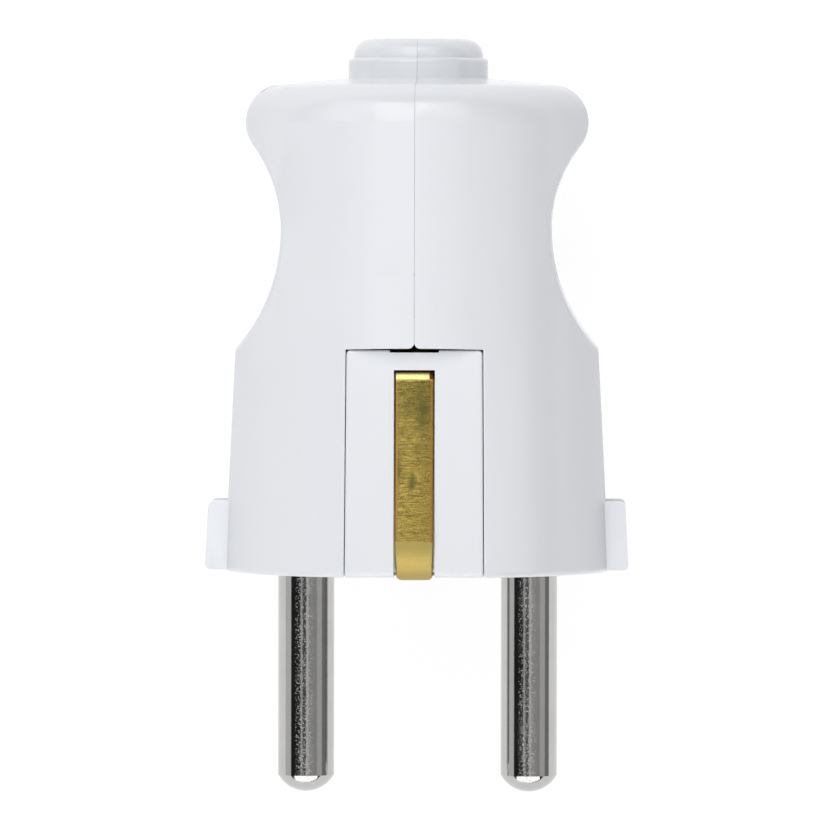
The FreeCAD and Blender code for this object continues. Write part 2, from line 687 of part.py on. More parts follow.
def strip_room():
    """Slot and passage in one panel for a strip leg, open in front below the top bar."""
    points, rounds = strip_points()
    passage = across(band(points, rounds, STRIP_THICKNESS + 2 * FIT), SLOT_WIDTH)
    bar_back, facet, brow, tip, hook = points[1][0], points[3], points[4], points[5], points[6]
    opening = [
        (facet[0] - (SLOT_TOP - facet[1]), SLOT_TOP),
        (FAR, SLOT_TOP),
        (FAR, -OVERCUT),
        (hook[0], -OVERCUT),
        (hook[0], hook[1]),
        (tip[0] - STRIP_TOE_ROUND, hook[1]),
        (tip[0] - TOE_BACKING, tip[1] + TOE_BACKING),
        (tip[0] - TOE_RELIEF, tip[1] + STRIP_TOE_ROUND),
        brow,
        facet,
    ]
    open_front = outline_face(opening, [0] * len(opening))
    ledge = STRIP_LEDGE - FIT
    half, front = SLOT_WIDTH / 2, bar_back + STRIP_THICKNESS / 2 + FIT
    channel = box((-half, -front, ledge), (half, 0, FAR))
    notch = box(
        (-PANEL_NOTCH_WIDTH / 2, -FAR, PANEL_HEIGHT - PANEL_NOTCH_DEPTH),
        (PANEL_NOTCH_WIDTH / 2, 0, FAR),
    )
    return passage.fuse([across(open_front, SLOT_WIDTH), channel, notch])


def panel():
    """Front panel of the carrier: a drafted flat wall with rounded front edges."""
    foot, head = panel_depth(0), panel_depth(PANEL_HEIGHT)
    side = outline_face(
        [(PANEL_BACK, 0), (foot, 0), (head, PANEL_HEIGHT), (PANEL_BACK, PANEL_HEIGHT)],
        [0, FOOT_ROUND, 0, 0],
    )
    wall = across(side, 2 * PANEL_HALF_FOOT + OVERCUT)
    face = outline_face(
        [
            (-PANEL_HALF_FOOT, 0),
            (PANEL_HALF_FOOT, 0),
            (PANEL_HALF_TOP, PANEL_HEIGHT),
            (-PANEL_HALF_TOP, PANEL_HEIGHT),
        ],
        [0, 0, PANEL_CORNER_ROUND, PANEL_CORNER_ROUND],
    )
    front = face.extrude(Vector(0, 2 * FAR, 0))
    front.translate(Vector(0, -FAR, 0))
    solid = wall.common(front)
    rim = []
    for edge in solid.Edges:
        middle = edge.valueAt((edge.FirstParameter + edge.LastParameter) / 2)
        in_front = abs(middle.y + panel_depth(middle.z)) < FIT
        if in_front and middle.z > 2 * FOOT_ROUND:
            rim.append(edge)
    return solid.makeFillet(PANEL_EDGE_ROUND, rim)


def contact_carrier():
    """Inner moulding: engagement disc with flange, two panels, web and terminal boss."""
    disc = turned(
        [
            (0, 0),
            (CARRIER_FACE_RADIUS, 0),
            (CARRIER_FACE_RADIUS, CARRIER_FLANGE_FOOT),
            (CARRIER_FLANGE_RADIUS, CARRIER_FLANGE_FOOT),
            (CARRIER_FLANGE_RADIUS, CARRIER_DISC_HEIGHT),
            (0, CARRIER_DISC_HEIGHT),
        ],
        [0, DISC_EDGE_ROUND, 0, 0, 0, 0],
    )
    ledge = STRIP_LEDGE
    half = BOSS_SIDE / 2
    web_end, web_half = PANEL_BACK + WEB_SINK, WEB_THICKNESS / 2
    web = box((-web_half, -web_end, WEB_SINK), (web_half, web_end, ledge))
    boss = box((-half, -half, WEB_SINK), (half, half, ledge))
    upright = [e for e in boss.Edges if abs(e.Length - (ledge - WEB_SINK)) < 1e-6]
    boss = boss.makeFillet(BOSS_ROUND, upright)
    solid = disc.fuse([web, boss] + both_sides(panel()))
    nut_foot = ledge - EARTH_NUT_HEIGHT - FIT
    cuts = both_sides(strip_room())
    cuts.append(prism(EARTH_NUT_FLATS + 2 * FIT, (0, 0, nut_foot), (0, 0, FAR)))
    tip = ledge + STRIP_THICKNESS + EARTH_WASHER_HEIGHT - EARTH_SCREW_LENGTH
    cuts.append(rod(EARTH_SCREW[0] + FIT, (0, 0, tip - EARTH_BORE_RUNOUT), (0, 0, FAR)))
    for side in (-1, 1):
        at = side * PIN_SPACING / 2
        mouth, neck = PIN_DIAMETER / 2 + FIT, PIN_NECK_DIAMETER / 2 + FIT / 4
        cuts.append(rod(neck, (at, 0, -OVERCUT), (at, 0, FAR)))
        cuts += pin_room(side)[1:]
        cuts.append(Part.makeCone(mouth, neck, PIN_SEAT_DEPTH + FIT / 4, Vector(at, 0, 0)))
    return solid.cut(cuts).removeSplitter()


def contact_pin(side):
    """Turned pin: round-ended shank, bevelled neck, collar and a bored terminal head."""
    shank, neck = PIN_DIAMETER / 2, PIN_NECK_DIAMETER / 2
    collar, head = PIN_COLLAR_DIAMETER / 2, PIN_HEAD_DIAMETER / 2
    collar_foot = CARRIER_DISC_HEIGHT + FIT / 4
    tip_radius = (shank**2 + PIN_TIP_HEIGHT**2) / (2 * PIN_TIP_HEIGHT)
    tip, edge = -PIN_REACH, -PIN_REACH + PIN_TIP_HEIGHT
    bend = 0.5 * atan2(shank, tip_radius - PIN_TIP_HEIGHT)
    on_tip = Vector(tip_radius * sin(bend), 0, tip + tip_radius * (1 - cos(bend)))
    cap = Part.Arc(Vector(0, 0, tip), on_tip, Vector(shank, 0, edge)).toShape()
    steps = [
        (shank, edge),
        (shank, 0),
        (neck, PIN_SEAT_DEPTH),
        (neck, collar_foot),
        (collar, collar_foot),
        (collar, collar_foot + PIN_COLLAR_HEIGHT),
        (head, collar_foot + PIN_COLLAR_HEIGHT),
        (head, PIN_HEAD_TOP - PIN_HEAD_BEVEL),
        (head - PIN_HEAD_BEVEL, PIN_HEAD_TOP),
        (0, PIN_HEAD_TOP),
        (0, tip),
    ]
    path = [Vector(r, 0, z) for r, z in steps]
    lines = [Part.makeLine(a, b) for a, b in zip(path, path[1:])]
    solid = Part.Face(Part.Wire([cap] + lines)).revolve(Vector(), Vector(0, 0, 1), 360)
    wire = rod(WIRE_HOLE_DIAMETER / 2, (0, 0, PIN_HEAD_TOP - WIRE_HOLE_DEPTH), (0, 0, FAR))
    level = TERMINAL_SCREW_HEIGHT
    thread = rod(TERMINAL_SCREW[0] + FIT / 2, (0, 0, level), (0, -FAR, level))
    solid = solid.cut([wire, thread])
    solid.translate(Vector(side * PIN_SPACING / 2, 0, 0))
    return solid


def slotted_screw(sizes, length, seat, direction):
    """Cheese-head screw with a driver slot; seat is the point under the head."""
    thread, head, height = sizes
    blank = turned(
        [(0, -length), (thread, -length), (thread, 0), (head, 0), (head, height), (0, height)],
        [0, SCREW_EDGE, 0, 0, SCREW_EDGE, 0],
    )
    half = DRIVER_SLOT / 2
    slot = box((-FAR, -half, height / 2), (FAR, half, height + OVERCUT))
    screw = blank.cut(slot)
    screw.Placement = Placement(Vector(*seat), Rotation(Vector(0, 0, 1), Vector(*direction)))
    return screw


def earth_clamp():
    """Screw, washer and nut that clamp the earth wire on the strip's pad."""
    pad_top = STRIP_LEDGE + STRIP_THICKNESS
    washer_top = pad_top + EARTH_WASHER_HEIGHT
    washer = rod(EARTH_WASHER_RADIUS, (0, 0, pad_top), (0, 0, washer_top))
    washer = washer.cut(rod(EARTH_SCREW[0] + FIT, (0, 0, 0), (0, 0, FAR)))
    nut_foot = STRIP_LEDGE - EARTH_NUT_HEIGHT
    nut = prism(EARTH_NUT_FLATS, (0, 0, nut_foot), (0, 0, STRIP_LEDGE))
    nut = nut.cut(rod(EARTH_SCREW[0] + FIT / 4, (0, 0, 0), (0, 0, FAR)))
    screw = slotted_screw(EARTH_SCREW, EARTH_SCREW_LENGTH, (0, 0, washer_top), (0, 0, 1))
    return {
        "earth_terminal_screw": screw,
        "earth_terminal_washer": washer,
        "earth_terminal_nut": nut,
    }


def wire_screw(side):
    """Screw across a pin head that clamps its wire."""
    rise = PIN_HEAD_DIAMETER / 2 + TERMINAL_SCREW_RISE
    seat = (side * PIN_SPACING / 2, -rise, TERMINAL_SCREW_HEIGHT)
    length = rise - WIRE_HOLE_DIAMETER / 2 + TERMINAL_SCREW_BITE
    return slotted_screw(TERMINAL_SCREW, length, seat, (0, -1, 0))


def housing_fastener():
    """Screw and nut through the middle of the finger scoops."""
    level = HOUSING_SCREW_HEIGHT
    end = HOUSING_SEAT + HOUSING_NUT_HEIGHT
    nut = prism(HOUSING_NUT_FLATS, (HOUSING_SEAT, 0, level), (end, 0, level))
    nut = nut.cut(rod(HOUSING_SCREW[0] + FIT / 4, (0, 0, level), (FAR, 0, level)))
    seat = (-HOUSING_SEAT, 0, level)
    screw = slotted_screw(HOUSING_SCREW, HOUSING_SEAT + end, seat, (-1, 0, 0))
    return {"housing_screw": screw, "housing_nut": nut}


def cord_clamp():
    """Clamp bar across the cord with its two screws."""
    top = CLAMP_SEAT + CLAMP_BAR_HEIGHT
    end = CLAMP_SPREAD + CLAMP_BOSS_RADIUS
    half = CLAMP_BAR_WIDTH / 2
    bar = box((CLAMP_SEAT, -end, CLAMP_HEIGHT - half), (top, end, CLAMP_HEIGHT + half))
    ends = [e for e in bar.Edges if abs(e.Length - CLAMP_BAR_HEIGHT) < 1e-6]
    bar = bar.makeFillet(half - FIT, ends)
    middle = CLAMP_SEAT - CORD_BORE_RADIUS + CLAMP_BITE
    cuts = [rod(CORD_BORE_RADIUS, (middle, 0, 0), (middle, 0, FAR))]
    screws = []
    for face in (-1, 1):
        at = face * CLAMP_SPREAD
        cuts.append(rod(CLAMP_SCREW[0] + FIT, (0, at, CLAMP_HEIGHT), (FAR, at, CLAMP_HEIGHT)))
        seat = (top, at, CLAMP_HEIGHT)
        screws.append(slotted_screw(CLAMP_SCREW, CLAMP_SCREW_LENGTH, seat, (1, 0, 0)))
    return {
        "cord_clamp_bar": bar.cut(cuts),
        "cord_clamp_screw_front": screws[0],
        "cord_clamp_screw_rear": screws[1],
    }


def pieces():
    """Every piece of the plug in its own axes, by name."""
    outside, hollow = housing_body(), cavity()
    parts = {
        "left_shell": shell(-1, outside, hollow),
        "right_shell": shell(1, outside, hollow),
        "contact_carrier": contact_carrier(),
        "earth_strip": earth_strip(),
        "line_pin": contact_pin(-1),
        "neutral_pin": contact_pin(1),
        "line_terminal_screw": wire_screw(-1),
        "neutral_terminal_screw": wire_screw(1),
    }
    parts.update(earth_clamp())
    parts.update(housing_fastener())
    parts.update(cord_clamp())
    return parts


def resting_placement(parts):
    """Turn that lays the plug on its rear side, touching at the strip's toe and above the panel."""
    leg, bends = strip_points()
    toe_round = bends[5] + STRIP_THICKNESS / 2
    toe, _, _ = corner_arc(*[Vector(x, 0, z) for x, z in leg[4:7]], bends[5])
    brow_height = PANEL_HEIGHT + PANEL_TOP_GAP
    brow = sqrt(body_radius(brow_height) ** 2 - (SEAM_RELIEF + SEAM_CORNER_ROUND) ** 2)
    drop, run = toe.x - brow, brow_height - toe.z
    lean = atan2(drop, run) + asin(toe_round / hypot(drop, run))
    turn = Placement(Vector(), Rotation(Vector(1, 0, 0), -90 - degrees(lean)))
    whole = Part.Compound(list(parts.values())).transformGeometry(turn.toMatrix())
    bounds = whole.optimalBoundingBox(False, False)
    shift = Vector(-bounds.Center.x, -bounds.Center.y, -bounds.ZMin)
    return Placement(shift, Rotation()).multiply(turn)


def main():
    """Build, lay down and export the plug."""
    os.makedirs(PART_FOLDER, exist_ok=True)
    parts = pieces()
    placement = resting_placement(parts)
    for name, solid in parts.items():
        placed = solid.copy()
        placed.Placement = placement.multiply(placed.Placement)
        placed.exportStep(os.path.join(PART_FOLDER, name + ".step"))


main()
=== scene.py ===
"""Studio scene of a straight rewirable plug that lies on its rear side on a pale floor."""

import json
import logging
import math
from dataclasses import dataclass, field
from enum import Enum
from typing import Any, Sequence

import bpy
from mathutils import Matrix, Vector


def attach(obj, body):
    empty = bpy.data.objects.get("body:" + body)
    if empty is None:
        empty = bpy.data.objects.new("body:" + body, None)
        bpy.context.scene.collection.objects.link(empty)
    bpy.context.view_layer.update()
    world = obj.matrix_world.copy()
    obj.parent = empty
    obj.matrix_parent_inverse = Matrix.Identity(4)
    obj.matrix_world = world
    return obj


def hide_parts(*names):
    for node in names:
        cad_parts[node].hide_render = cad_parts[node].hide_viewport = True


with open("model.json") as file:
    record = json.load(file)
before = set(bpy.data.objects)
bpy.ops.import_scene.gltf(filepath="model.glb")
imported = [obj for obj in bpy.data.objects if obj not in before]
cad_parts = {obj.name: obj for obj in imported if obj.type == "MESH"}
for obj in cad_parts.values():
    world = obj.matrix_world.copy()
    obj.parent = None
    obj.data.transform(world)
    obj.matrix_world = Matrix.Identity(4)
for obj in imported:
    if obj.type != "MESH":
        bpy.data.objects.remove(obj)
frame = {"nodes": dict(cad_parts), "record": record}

LOG = logging.getLogger("plug_scene")
MM = 0.001
BODY = "root"
SHARP = 38.0
Triple = tuple[float, float, float]
Colour = Triple
Socket = bpy.types.NodeSocket


class Slot(Enum):
    """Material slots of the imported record."""

    PLASTIC = "white_plastic"
    NICKEL = "nickel_plate"
    BRASS = "brass"
    ZINC = "zinc_steel"


class Tree:
    """Helper that adds and links the nodes of one node tree."""

    def __init__(self, tree: bpy.types.NodeTree) -> None:
        """Keep the tree and clear its default nodes."""
        self.tree = tree
        tree.nodes.clear()

    def add(self, kind: str, inputs: dict[Any, Any] | None = None, **settings: Any) -> bpy.types.Node:
        """Add a node.

        Args:
            kind: Blender's type name of the node.
            inputs: Values, source sockets or lists of source sockets by the input's name or number.
            settings: Properties of the node.

        Returns:
            The new node.
        """
        node = self.tree.nodes.new(kind)
        for name, value in settings.items():
            setattr(node, name, value)
        for key, value in (inputs or {}).items():
            sources = value if isinstance(value, list) else [value]
            for source in sources:
                if isinstance(source, Socket):
                    self.tree.links.new(source, node.inputs[key])
                else:
                    node.inputs[key].default_value = source
        return node

    def out(self, kind: str, inputs: dict[Any, Any] | None = None, key: Any = 0, **settings: Any) -> Socket:
        """Add a node and return one of its outputs, the first unless a key is given."""
        return self.add(kind, inputs, **settings).outputs[key]

    def link(self, source: Socket, node: bpy.types.Node, key: str) -> None:
        """Link a socket to a node's input by name."""
        self.tree.links.new(source, node.inputs[key])

    def math(self, operation: str, first: Any, second: Any = 0.0) -> Socket:
        """Add a math node and return its result."""
        return self.out("ShaderNodeMath", {0: first, 1: second}, operation=operation)

    def noise(self, vector: Any, scale: Any, detail: float = 2.0) -> Socket:
        """Add a noise texture and return its value."""
        inputs = {"Vector": vector, "Scale": scale, "Detail": detail}
        return self.out("ShaderNodeTexNoise", inputs, "Fac")

    def stretch(self, vector: Any, scale: Sequence[float]) -> Socket:
        """Scale a vector with a mapping node."""
        return self.out("ShaderNodeMapping", {"Vector": vector, "Scale": scale}, "Vector")

    def ramp(self, value: Any, stops: Sequence[tuple[float, Colour]]) -> Socket:
        """Add a colour ramp.

        Args:
            value: Source socket.
            stops: Positions with their linear colours.

        Returns:
            The ramp's colour socket.
        """
        node = self.add("ShaderNodeValToRGB", {"Fac": value})
        elements = node.color_ramp.elements
        while len(elements) < len(stops):
            elements.new(1.0)
        for element, (position, colour) in zip(elements, stops):
            element.position = position
            element.color = (*colour, 1.0)
        return node.outputs["Color"]

    def mix(self, factor: Any, first: Any, second: Any, blend: str = "MIX") -> Socket:
        """Mix two colours.

        Args:
            factor: Share of the second colour.
            first: Colour or source socket.
            second: Colour or source socket.
            blend: Blender's name of the blend.

        Returns:
            The mixed colour's socket.
        """
        node = self.add("ShaderNodeMix", data_type="RGBA", blend_type=blend)
        for key, value in ((0, factor), (6, first), (7, second)):
            if isinstance(value, Socket):
                self.tree.links.new(value, node.inputs[key])
            else:
                node.inputs[key].default_value = value if key == 0 else (*value, 1.0)
        return node.outputs[2]

    def span(self, value: Any, low: Any, high: Any, start: Any, end: Any) -> Socket:
        """Map a value from one range to another, held at its ends."""
        inputs = {"Value": value, "From Min": low, "From Max": high, "To Min": start, "To Max": end}
        return self.out("ShaderNodeMapRange", inputs, "Result", clamp=True)

    def bump(self, height: Any, strength: float, depth: float) -> Socket:
        """Turn a height into a normal; depth is in micrometres."""
        inputs = {"Height": height, "Strength": strength, "Distance": depth * 1e-6}
        return self.out("ShaderNodeBump", inputs, "Normal")

    def parts(self, vector: Any) -> Any:
        """Split a vector and return its X, Y and Z sockets by name."""
        return self.add("ShaderNodeSeparateXYZ", {"Vector": vector}).outputs

    def joined(self, x: Any = 0.0, y: Any = 0.0, z: Any = 0.0) -> Socket:
        """Make a vector from its parts."""
        return self.out("ShaderNodeCombineXYZ", {0: x, 1: y, 2: z})

    def sweep(self, path: Socket, section: Socket, scale: Any = 1.0) -> Socket:
        """Sweep a closed section along a curve into a capped mesh."""
        inputs = {"Curve": path, "Profile Curve": section, "Scale": scale, "Fill Caps": True}
        return self.out("GeometryNodeCurveToMesh", inputs)

    def moved(self, mesh: Socket, step: Socket) -> Socket:
        """Move a mesh by a vector."""
        return self.out("GeometryNodeTransform", {"Geometry": mesh, "Translation": step})

    def boolean(self, operation: str, inputs: dict[str, Any]) -> Socket:
        """Join or cut closed meshes exactly."""
        return self.out("GeometryNodeMeshBoolean", inputs, "Mesh", operation=operation, solver="EXACT")

    def finished(self, mesh: Socket, metal: Socket) -> None:
        """End a geometry tree: real geometry with its material."""
        real = self.out("GeometryNodeRealizeInstances", {"Geometry": mesh})
        inputs = {"Geometry": real, "Material": metal}
        self.add("NodeGroupOutput", {"Geometry": self.out("GeometryNodeSetMaterial", inputs)})


class ShaderGroups:
    """Surface effects that several finishes share, each built once."""

    VALUE = "NodeSocketFloat"
    VECTOR = "NodeSocketVector"
    COARSER = 0.37
    SCRATCH_RIM = 0.05
    SPECK_RIM = 0.04

    @classmethod
    def _start(cls, name: str, inputs: Sequence[str], outputs: Sequence[str]) -> tuple[Tree, Any, Any]:
        """Make an empty group whose first input is a vector.

        Args:
            name: Name of the group.
            inputs: Names of the value inputs after the vector.
            outputs: Names of the value outputs.

        Returns:
            The group's tree helper with its input and output nodes.
        """
        group = bpy.data.node_groups.new(name, "ShaderNodeTree")
        group.interface.new_socket("Vector", in_out="INPUT", socket_type=cls.VECTOR)
        for label in inputs:
            group.interface.new_socket(label, in_out="INPUT", socket_type=cls.VALUE)
        for label in outputs:
            group.interface.new_socket(label, in_out="OUTPUT", socket_type=cls.VALUE)
        tree = Tree(group)
        return tree, tree.add("NodeGroupInput").outputs, tree.add("NodeGroupOutput")

    @classmethod
    def grain(cls) -> bpy.types.NodeTree:
        """Cloudy unevenness and fine grain of a moulded or plated surface.

        Returns:
            The group, with outputs Cloud and Grain.
        """
        found = bpy.data.node_groups.get("surface_grain")
        if found:
            return found
        inputs, outputs = ("Cloud Scale", "Grain Scale"), ("Cloud", "Grain")
        tree, source, sink = cls._start("surface_grain", inputs, outputs)
        tree.link(tree.noise(source["Vector"], source["Cloud Scale"], 3.0), sink, "Cloud")
        tree.link(tree.noise(source["Vector"], source["Grain Scale"], 1.0), sink, "Grain")
        return tree.tree

    @classmethod
    def lines(cls) -> bpy.types.NodeTree:
        """Long fine lines of a drawn or brushed metal and a few deeper scratches.

        Returns:
            The group, with outputs Lines and Scratches.
        """
        found = bpy.data.node_groups.get("drawn_lines")
        if found:
            return found
        inputs, outputs = ("Lines Scale", "Threshold"), ("Lines", "Scratches")
        tree, source, sink = cls._start("drawn_lines", inputs, outputs)
        tree.link(tree.noise(source["Vector"], source["Lines Scale"], 2.0), sink, "Lines")
        coarse = tree.math("MULTIPLY", source["Lines Scale"], cls.COARSER)
        above = tree.math("SUBTRACT", tree.noise(source["Vector"], coarse), source["Threshold"])
        tree.link(tree.span(above, 0.0, cls.SCRATCH_RIM, 0.0, 1.0), sink, "Scratches")
        return tree.tree

    @classmethod
    def specks(cls) -> bpy.types.NodeTree:
        """Sparse small specks: dust on plastic, pits and bright points on metal.

        Returns:
            The group, with output Specks.
        """
        found = bpy.data.node_groups.get("small_specks")
        if found:
            return found
        tree, source, sink = cls._start("small_specks", ("Scale", "Threshold"), ("Specks",))
        above = tree.math("SUBTRACT", tree.noise(source["Vector"], source["Scale"]), source["Threshold"])
        tree.link(tree.span(above, 0.0, cls.SPECK_RIM, 0.0, 1.0), sink, "Specks")
        return tree.tree


@dataclass(frozen=True)
class Finish:
    """Base of every finish: a named material with one Principled shader."""

    CLOUD_TONES = (0.35, 0.65)
    CLOUD_GLOSS = (0.3, 0.7)
    name: str

    def start(self) -> tuple[bpy.types.Material, Tree, bpy.types.Node, Socket]:
        """Make the material with its shader.

        Returns:
            The material, its tree helper, the Principled node and object coordinates in millimetres.
        """
        material = bpy.data.materials.new(self.name)
        material.use_nodes = True
        tree = Tree(material.node_tree)
        shader = tree.add("ShaderNodeBsdfPrincipled")
        tree.add("ShaderNodeOutputMaterial", {"Surface": shader.outputs["BSDF"]})
        place = tree.out("ShaderNodeTexCoord", key="Object")
        return material, tree, shader, tree.stretch(place, (1.0 / MM,) * 3)

    def group(self, tree: Tree, effect: bpy.types.NodeTree, place: Socket, *values: float) -> Any:
        """Place a shared effect with its vector and its values in order, and return its outputs by name."""
        inputs = dict(enumerate((place, *values)))
        return tree.add("ShaderNodeGroup", inputs, node_tree=effect).outputs

    def clouded(self, tree: Tree, cloud: Socket, dark: Colour, light: Colour) -> Socket:
        """Colour that drifts between two tones with the cloudy noise."""
        low, high = self.CLOUD_TONES
        return tree.ramp(cloud, [(low, dark), (high, light)])

    def glossed(self, tree: Tree, cloud: Socket, roughness: tuple[float, float]) -> Socket:
        """Roughness that drifts between two values with the cloudy noise."""
        return tree.span(cloud, *self.CLOUD_GLOSS, *roughness)

    def material(self) -> bpy.types.Material:
        """Build the finish."""
        raise NotImplementedError


@dataclass(frozen=True)
class PlasticFinish(Finish):
    """White moulded thermoplastic with a soft gloss."""

    colour: Colour = (0.775, 0.791, 0.825)
    shade: Colour = (0.765, 0.781, 0.815)
    dust: Colour = (0.5, 0.5, 0.5)
    # painted shade: grey of the gap's shadow where the half shells meet
    seam_shade: Colour = (0.60, 0.61, 0.635)
    seam_half: float = 0.04
    seam_blur: float = 0.02
    seam_from: float = 8.5
    seam_to: float = 12.15
    seam_fade: float = 0.1
    roughness: tuple[float, float] = (0.15, 0.18)
    cloud_scale: float = 0.12
    grain_scale: float = 2.6
    grain_strength: float = 0.5
    grain_depth: float = 2.0
    dust_scale: float = 2.2
    dust_above: float = 0.79
    dust_share: float = 0.5
    refraction: float = 1.5

    def _seam_shade_mask(self, tree: Tree, place: Socket) -> Socket:
        """Mask of the painted shade line where the half shells meet closely, grey in place of the gap's
        shadow.

        Args:
            tree: Helper of the material's tree.
            place: Object coordinates in millimetres.

        Returns:
            The mask's socket.
        """
        parts = tree.parts(place)
        aside = tree.math("ABSOLUTE", parts["X"])
        near = tree.span(aside, self.seam_half, self.seam_half + self.seam_blur, 1.0, 0.0)
        above = tree.span(parts["Y"], self.seam_from - self.seam_fade, self.seam_from, 0.0, 1.0)
        below = tree.span(parts["Y"], self.seam_to, self.seam_to + self.seam_fade, 1.0, 0.0)
        return tree.math("MULTIPLY", near, tree.math("MULTIPLY", above, below))

    def material(self) -> bpy.types.Material:
        """Build the plastic with cloudy colour, uneven gloss, mould grain, dust specks and painted shade
        where the half shells meet.

        Returns:
            The material.
        """
        material, tree, shader, place = self.start()
        grain = self.group(tree, ShaderGroups.grain(), place, self.cloud_scale, self.grain_scale)
        specks = self.group(tree, ShaderGroups.specks(), place, self.dust_scale, self.dust_above)
        tone = self.clouded(tree, grain["Cloud"], self.shade, self.colour)
        dusty = tree.math("MULTIPLY", specks["Specks"], self.dust_share)
        tone = tree.mix(dusty, tone, self.dust)
        # painted shade: a grey line in place of the gap's shadow where the half shells meet
        tone = tree.mix(self._seam_shade_mask(tree, place), tone, self.seam_shade)
        tree.link(tone, shader, "Base Color")
        tree.link(self.glossed(tree, grain["Cloud"], self.roughness), shader, "Roughness")
        normal = tree.bump(grain["Grain"], self.grain_strength, self.grain_depth)
        tree.link(normal, shader, "Normal")
        shader.inputs["IOR"].default_value = self.refraction
        return material


@dataclass(frozen=True)
class PlatedFinish(Finish):
    """Bright plating with fine lines along the piece and a pitted grain."""

    bright: Colour = (0.53, 0.525, 0.515)
    dull: Colour = (0.50, 0.495, 0.485)
    roughness: tuple[float, float] = (0.06, 0.12)
    run: Triple = (1.0, 0.12, 1.0)
    pits: float = 6.0
    pits_above: float = 0.62
    depth: float = 1.2
    cloud_scale: float = 0.4
    grain_share: float = 0.6
    line_scale: float = 4.0
    scratch_above: float = 0.66
    scratch_share: float = 0.02

    def pitted(self, tree: Tree, place: Socket) -> Any:
        """Share of the pits' depth over the surface: even unless a piece says otherwise."""
        return 1.0

    def material(self) -> bpy.types.Material:
        """Build the plating from its colours, run direction, roughness and pit depth.

        Returns:
            The material.
        """
        material, tree, shader, place = self.start()
        grain = self.group(tree, ShaderGroups.grain(), place, self.cloud_scale, self.pits)
        along = tree.stretch(place, self.run)
        drawn = self.group(tree, ShaderGroups.lines(), along, self.line_scale, self.scratch_above)
        specks = self.group(tree, ShaderGroups.specks(), place, self.pits, self.pits_above)
        tree.link(self.clouded(tree, grain["Cloud"], self.dull, self.bright), shader, "Base Color")
        tree.link(self.glossed(tree, grain["Cloud"], self.roughness), shader, "Roughness")
        height = tree.math("MULTIPLY", grain["Grain"], self.grain_share)
        height = tree.math("ADD", height, specks["Specks"])
        height = tree.math("MULTIPLY", height, self.pitted(tree, place))
        scratches = tree.math("MULTIPLY", drawn["Scratches"], self.scratch_share)
        height = tree.math("ADD", height, scratches)
        tree.link(tree.bump(height, 1.0, self.depth), shader, "Normal")
        shader.inputs["Metallic"].default_value = 1.0
        return material


@dataclass(frozen=True)
class PinFinish(PlatedFinish):
    """Nickel of a pin whose pits lie in a stripe along it, where the socket's sleeve rubs."""

    pits: float = 7.0
    depth: float = 11.0
    pin_at: float = 9.5
    stripe_at: float = -0.12
    stripe_half: float = 0.42
    fade: float = 0.4
    elsewhere: float = 0.03

    def pitted(self, tree: Tree, place: Socket) -> Any:
        """Full depth in the stripe of each pin, fading to a faint grain beside it.

        Args:
            tree: Helper of the material's tree.
            place: Object coordinates in millimetres.

        Returns:
            The share's socket.
        """
        across = tree.parts(place)["X"]
        axis = tree.math("MULTIPLY", tree.math("SIGN", across), self.pin_at)
        aside = tree.math("SUBTRACT", tree.math("SUBTRACT", across, axis), self.stripe_at)
        aside = tree.math("ABSOLUTE", aside)
        return tree.span(aside, self.stripe_half, self.stripe_half + self.fade, 1.0, self.elsewhere)


@dataclass(frozen=True)
class DarkPatch:
    """One dark patch on the brass: middle and half sizes in millimetres, across and along."""

    across: float
    along: float
    half_across: float
    half_along: float
    strength: float


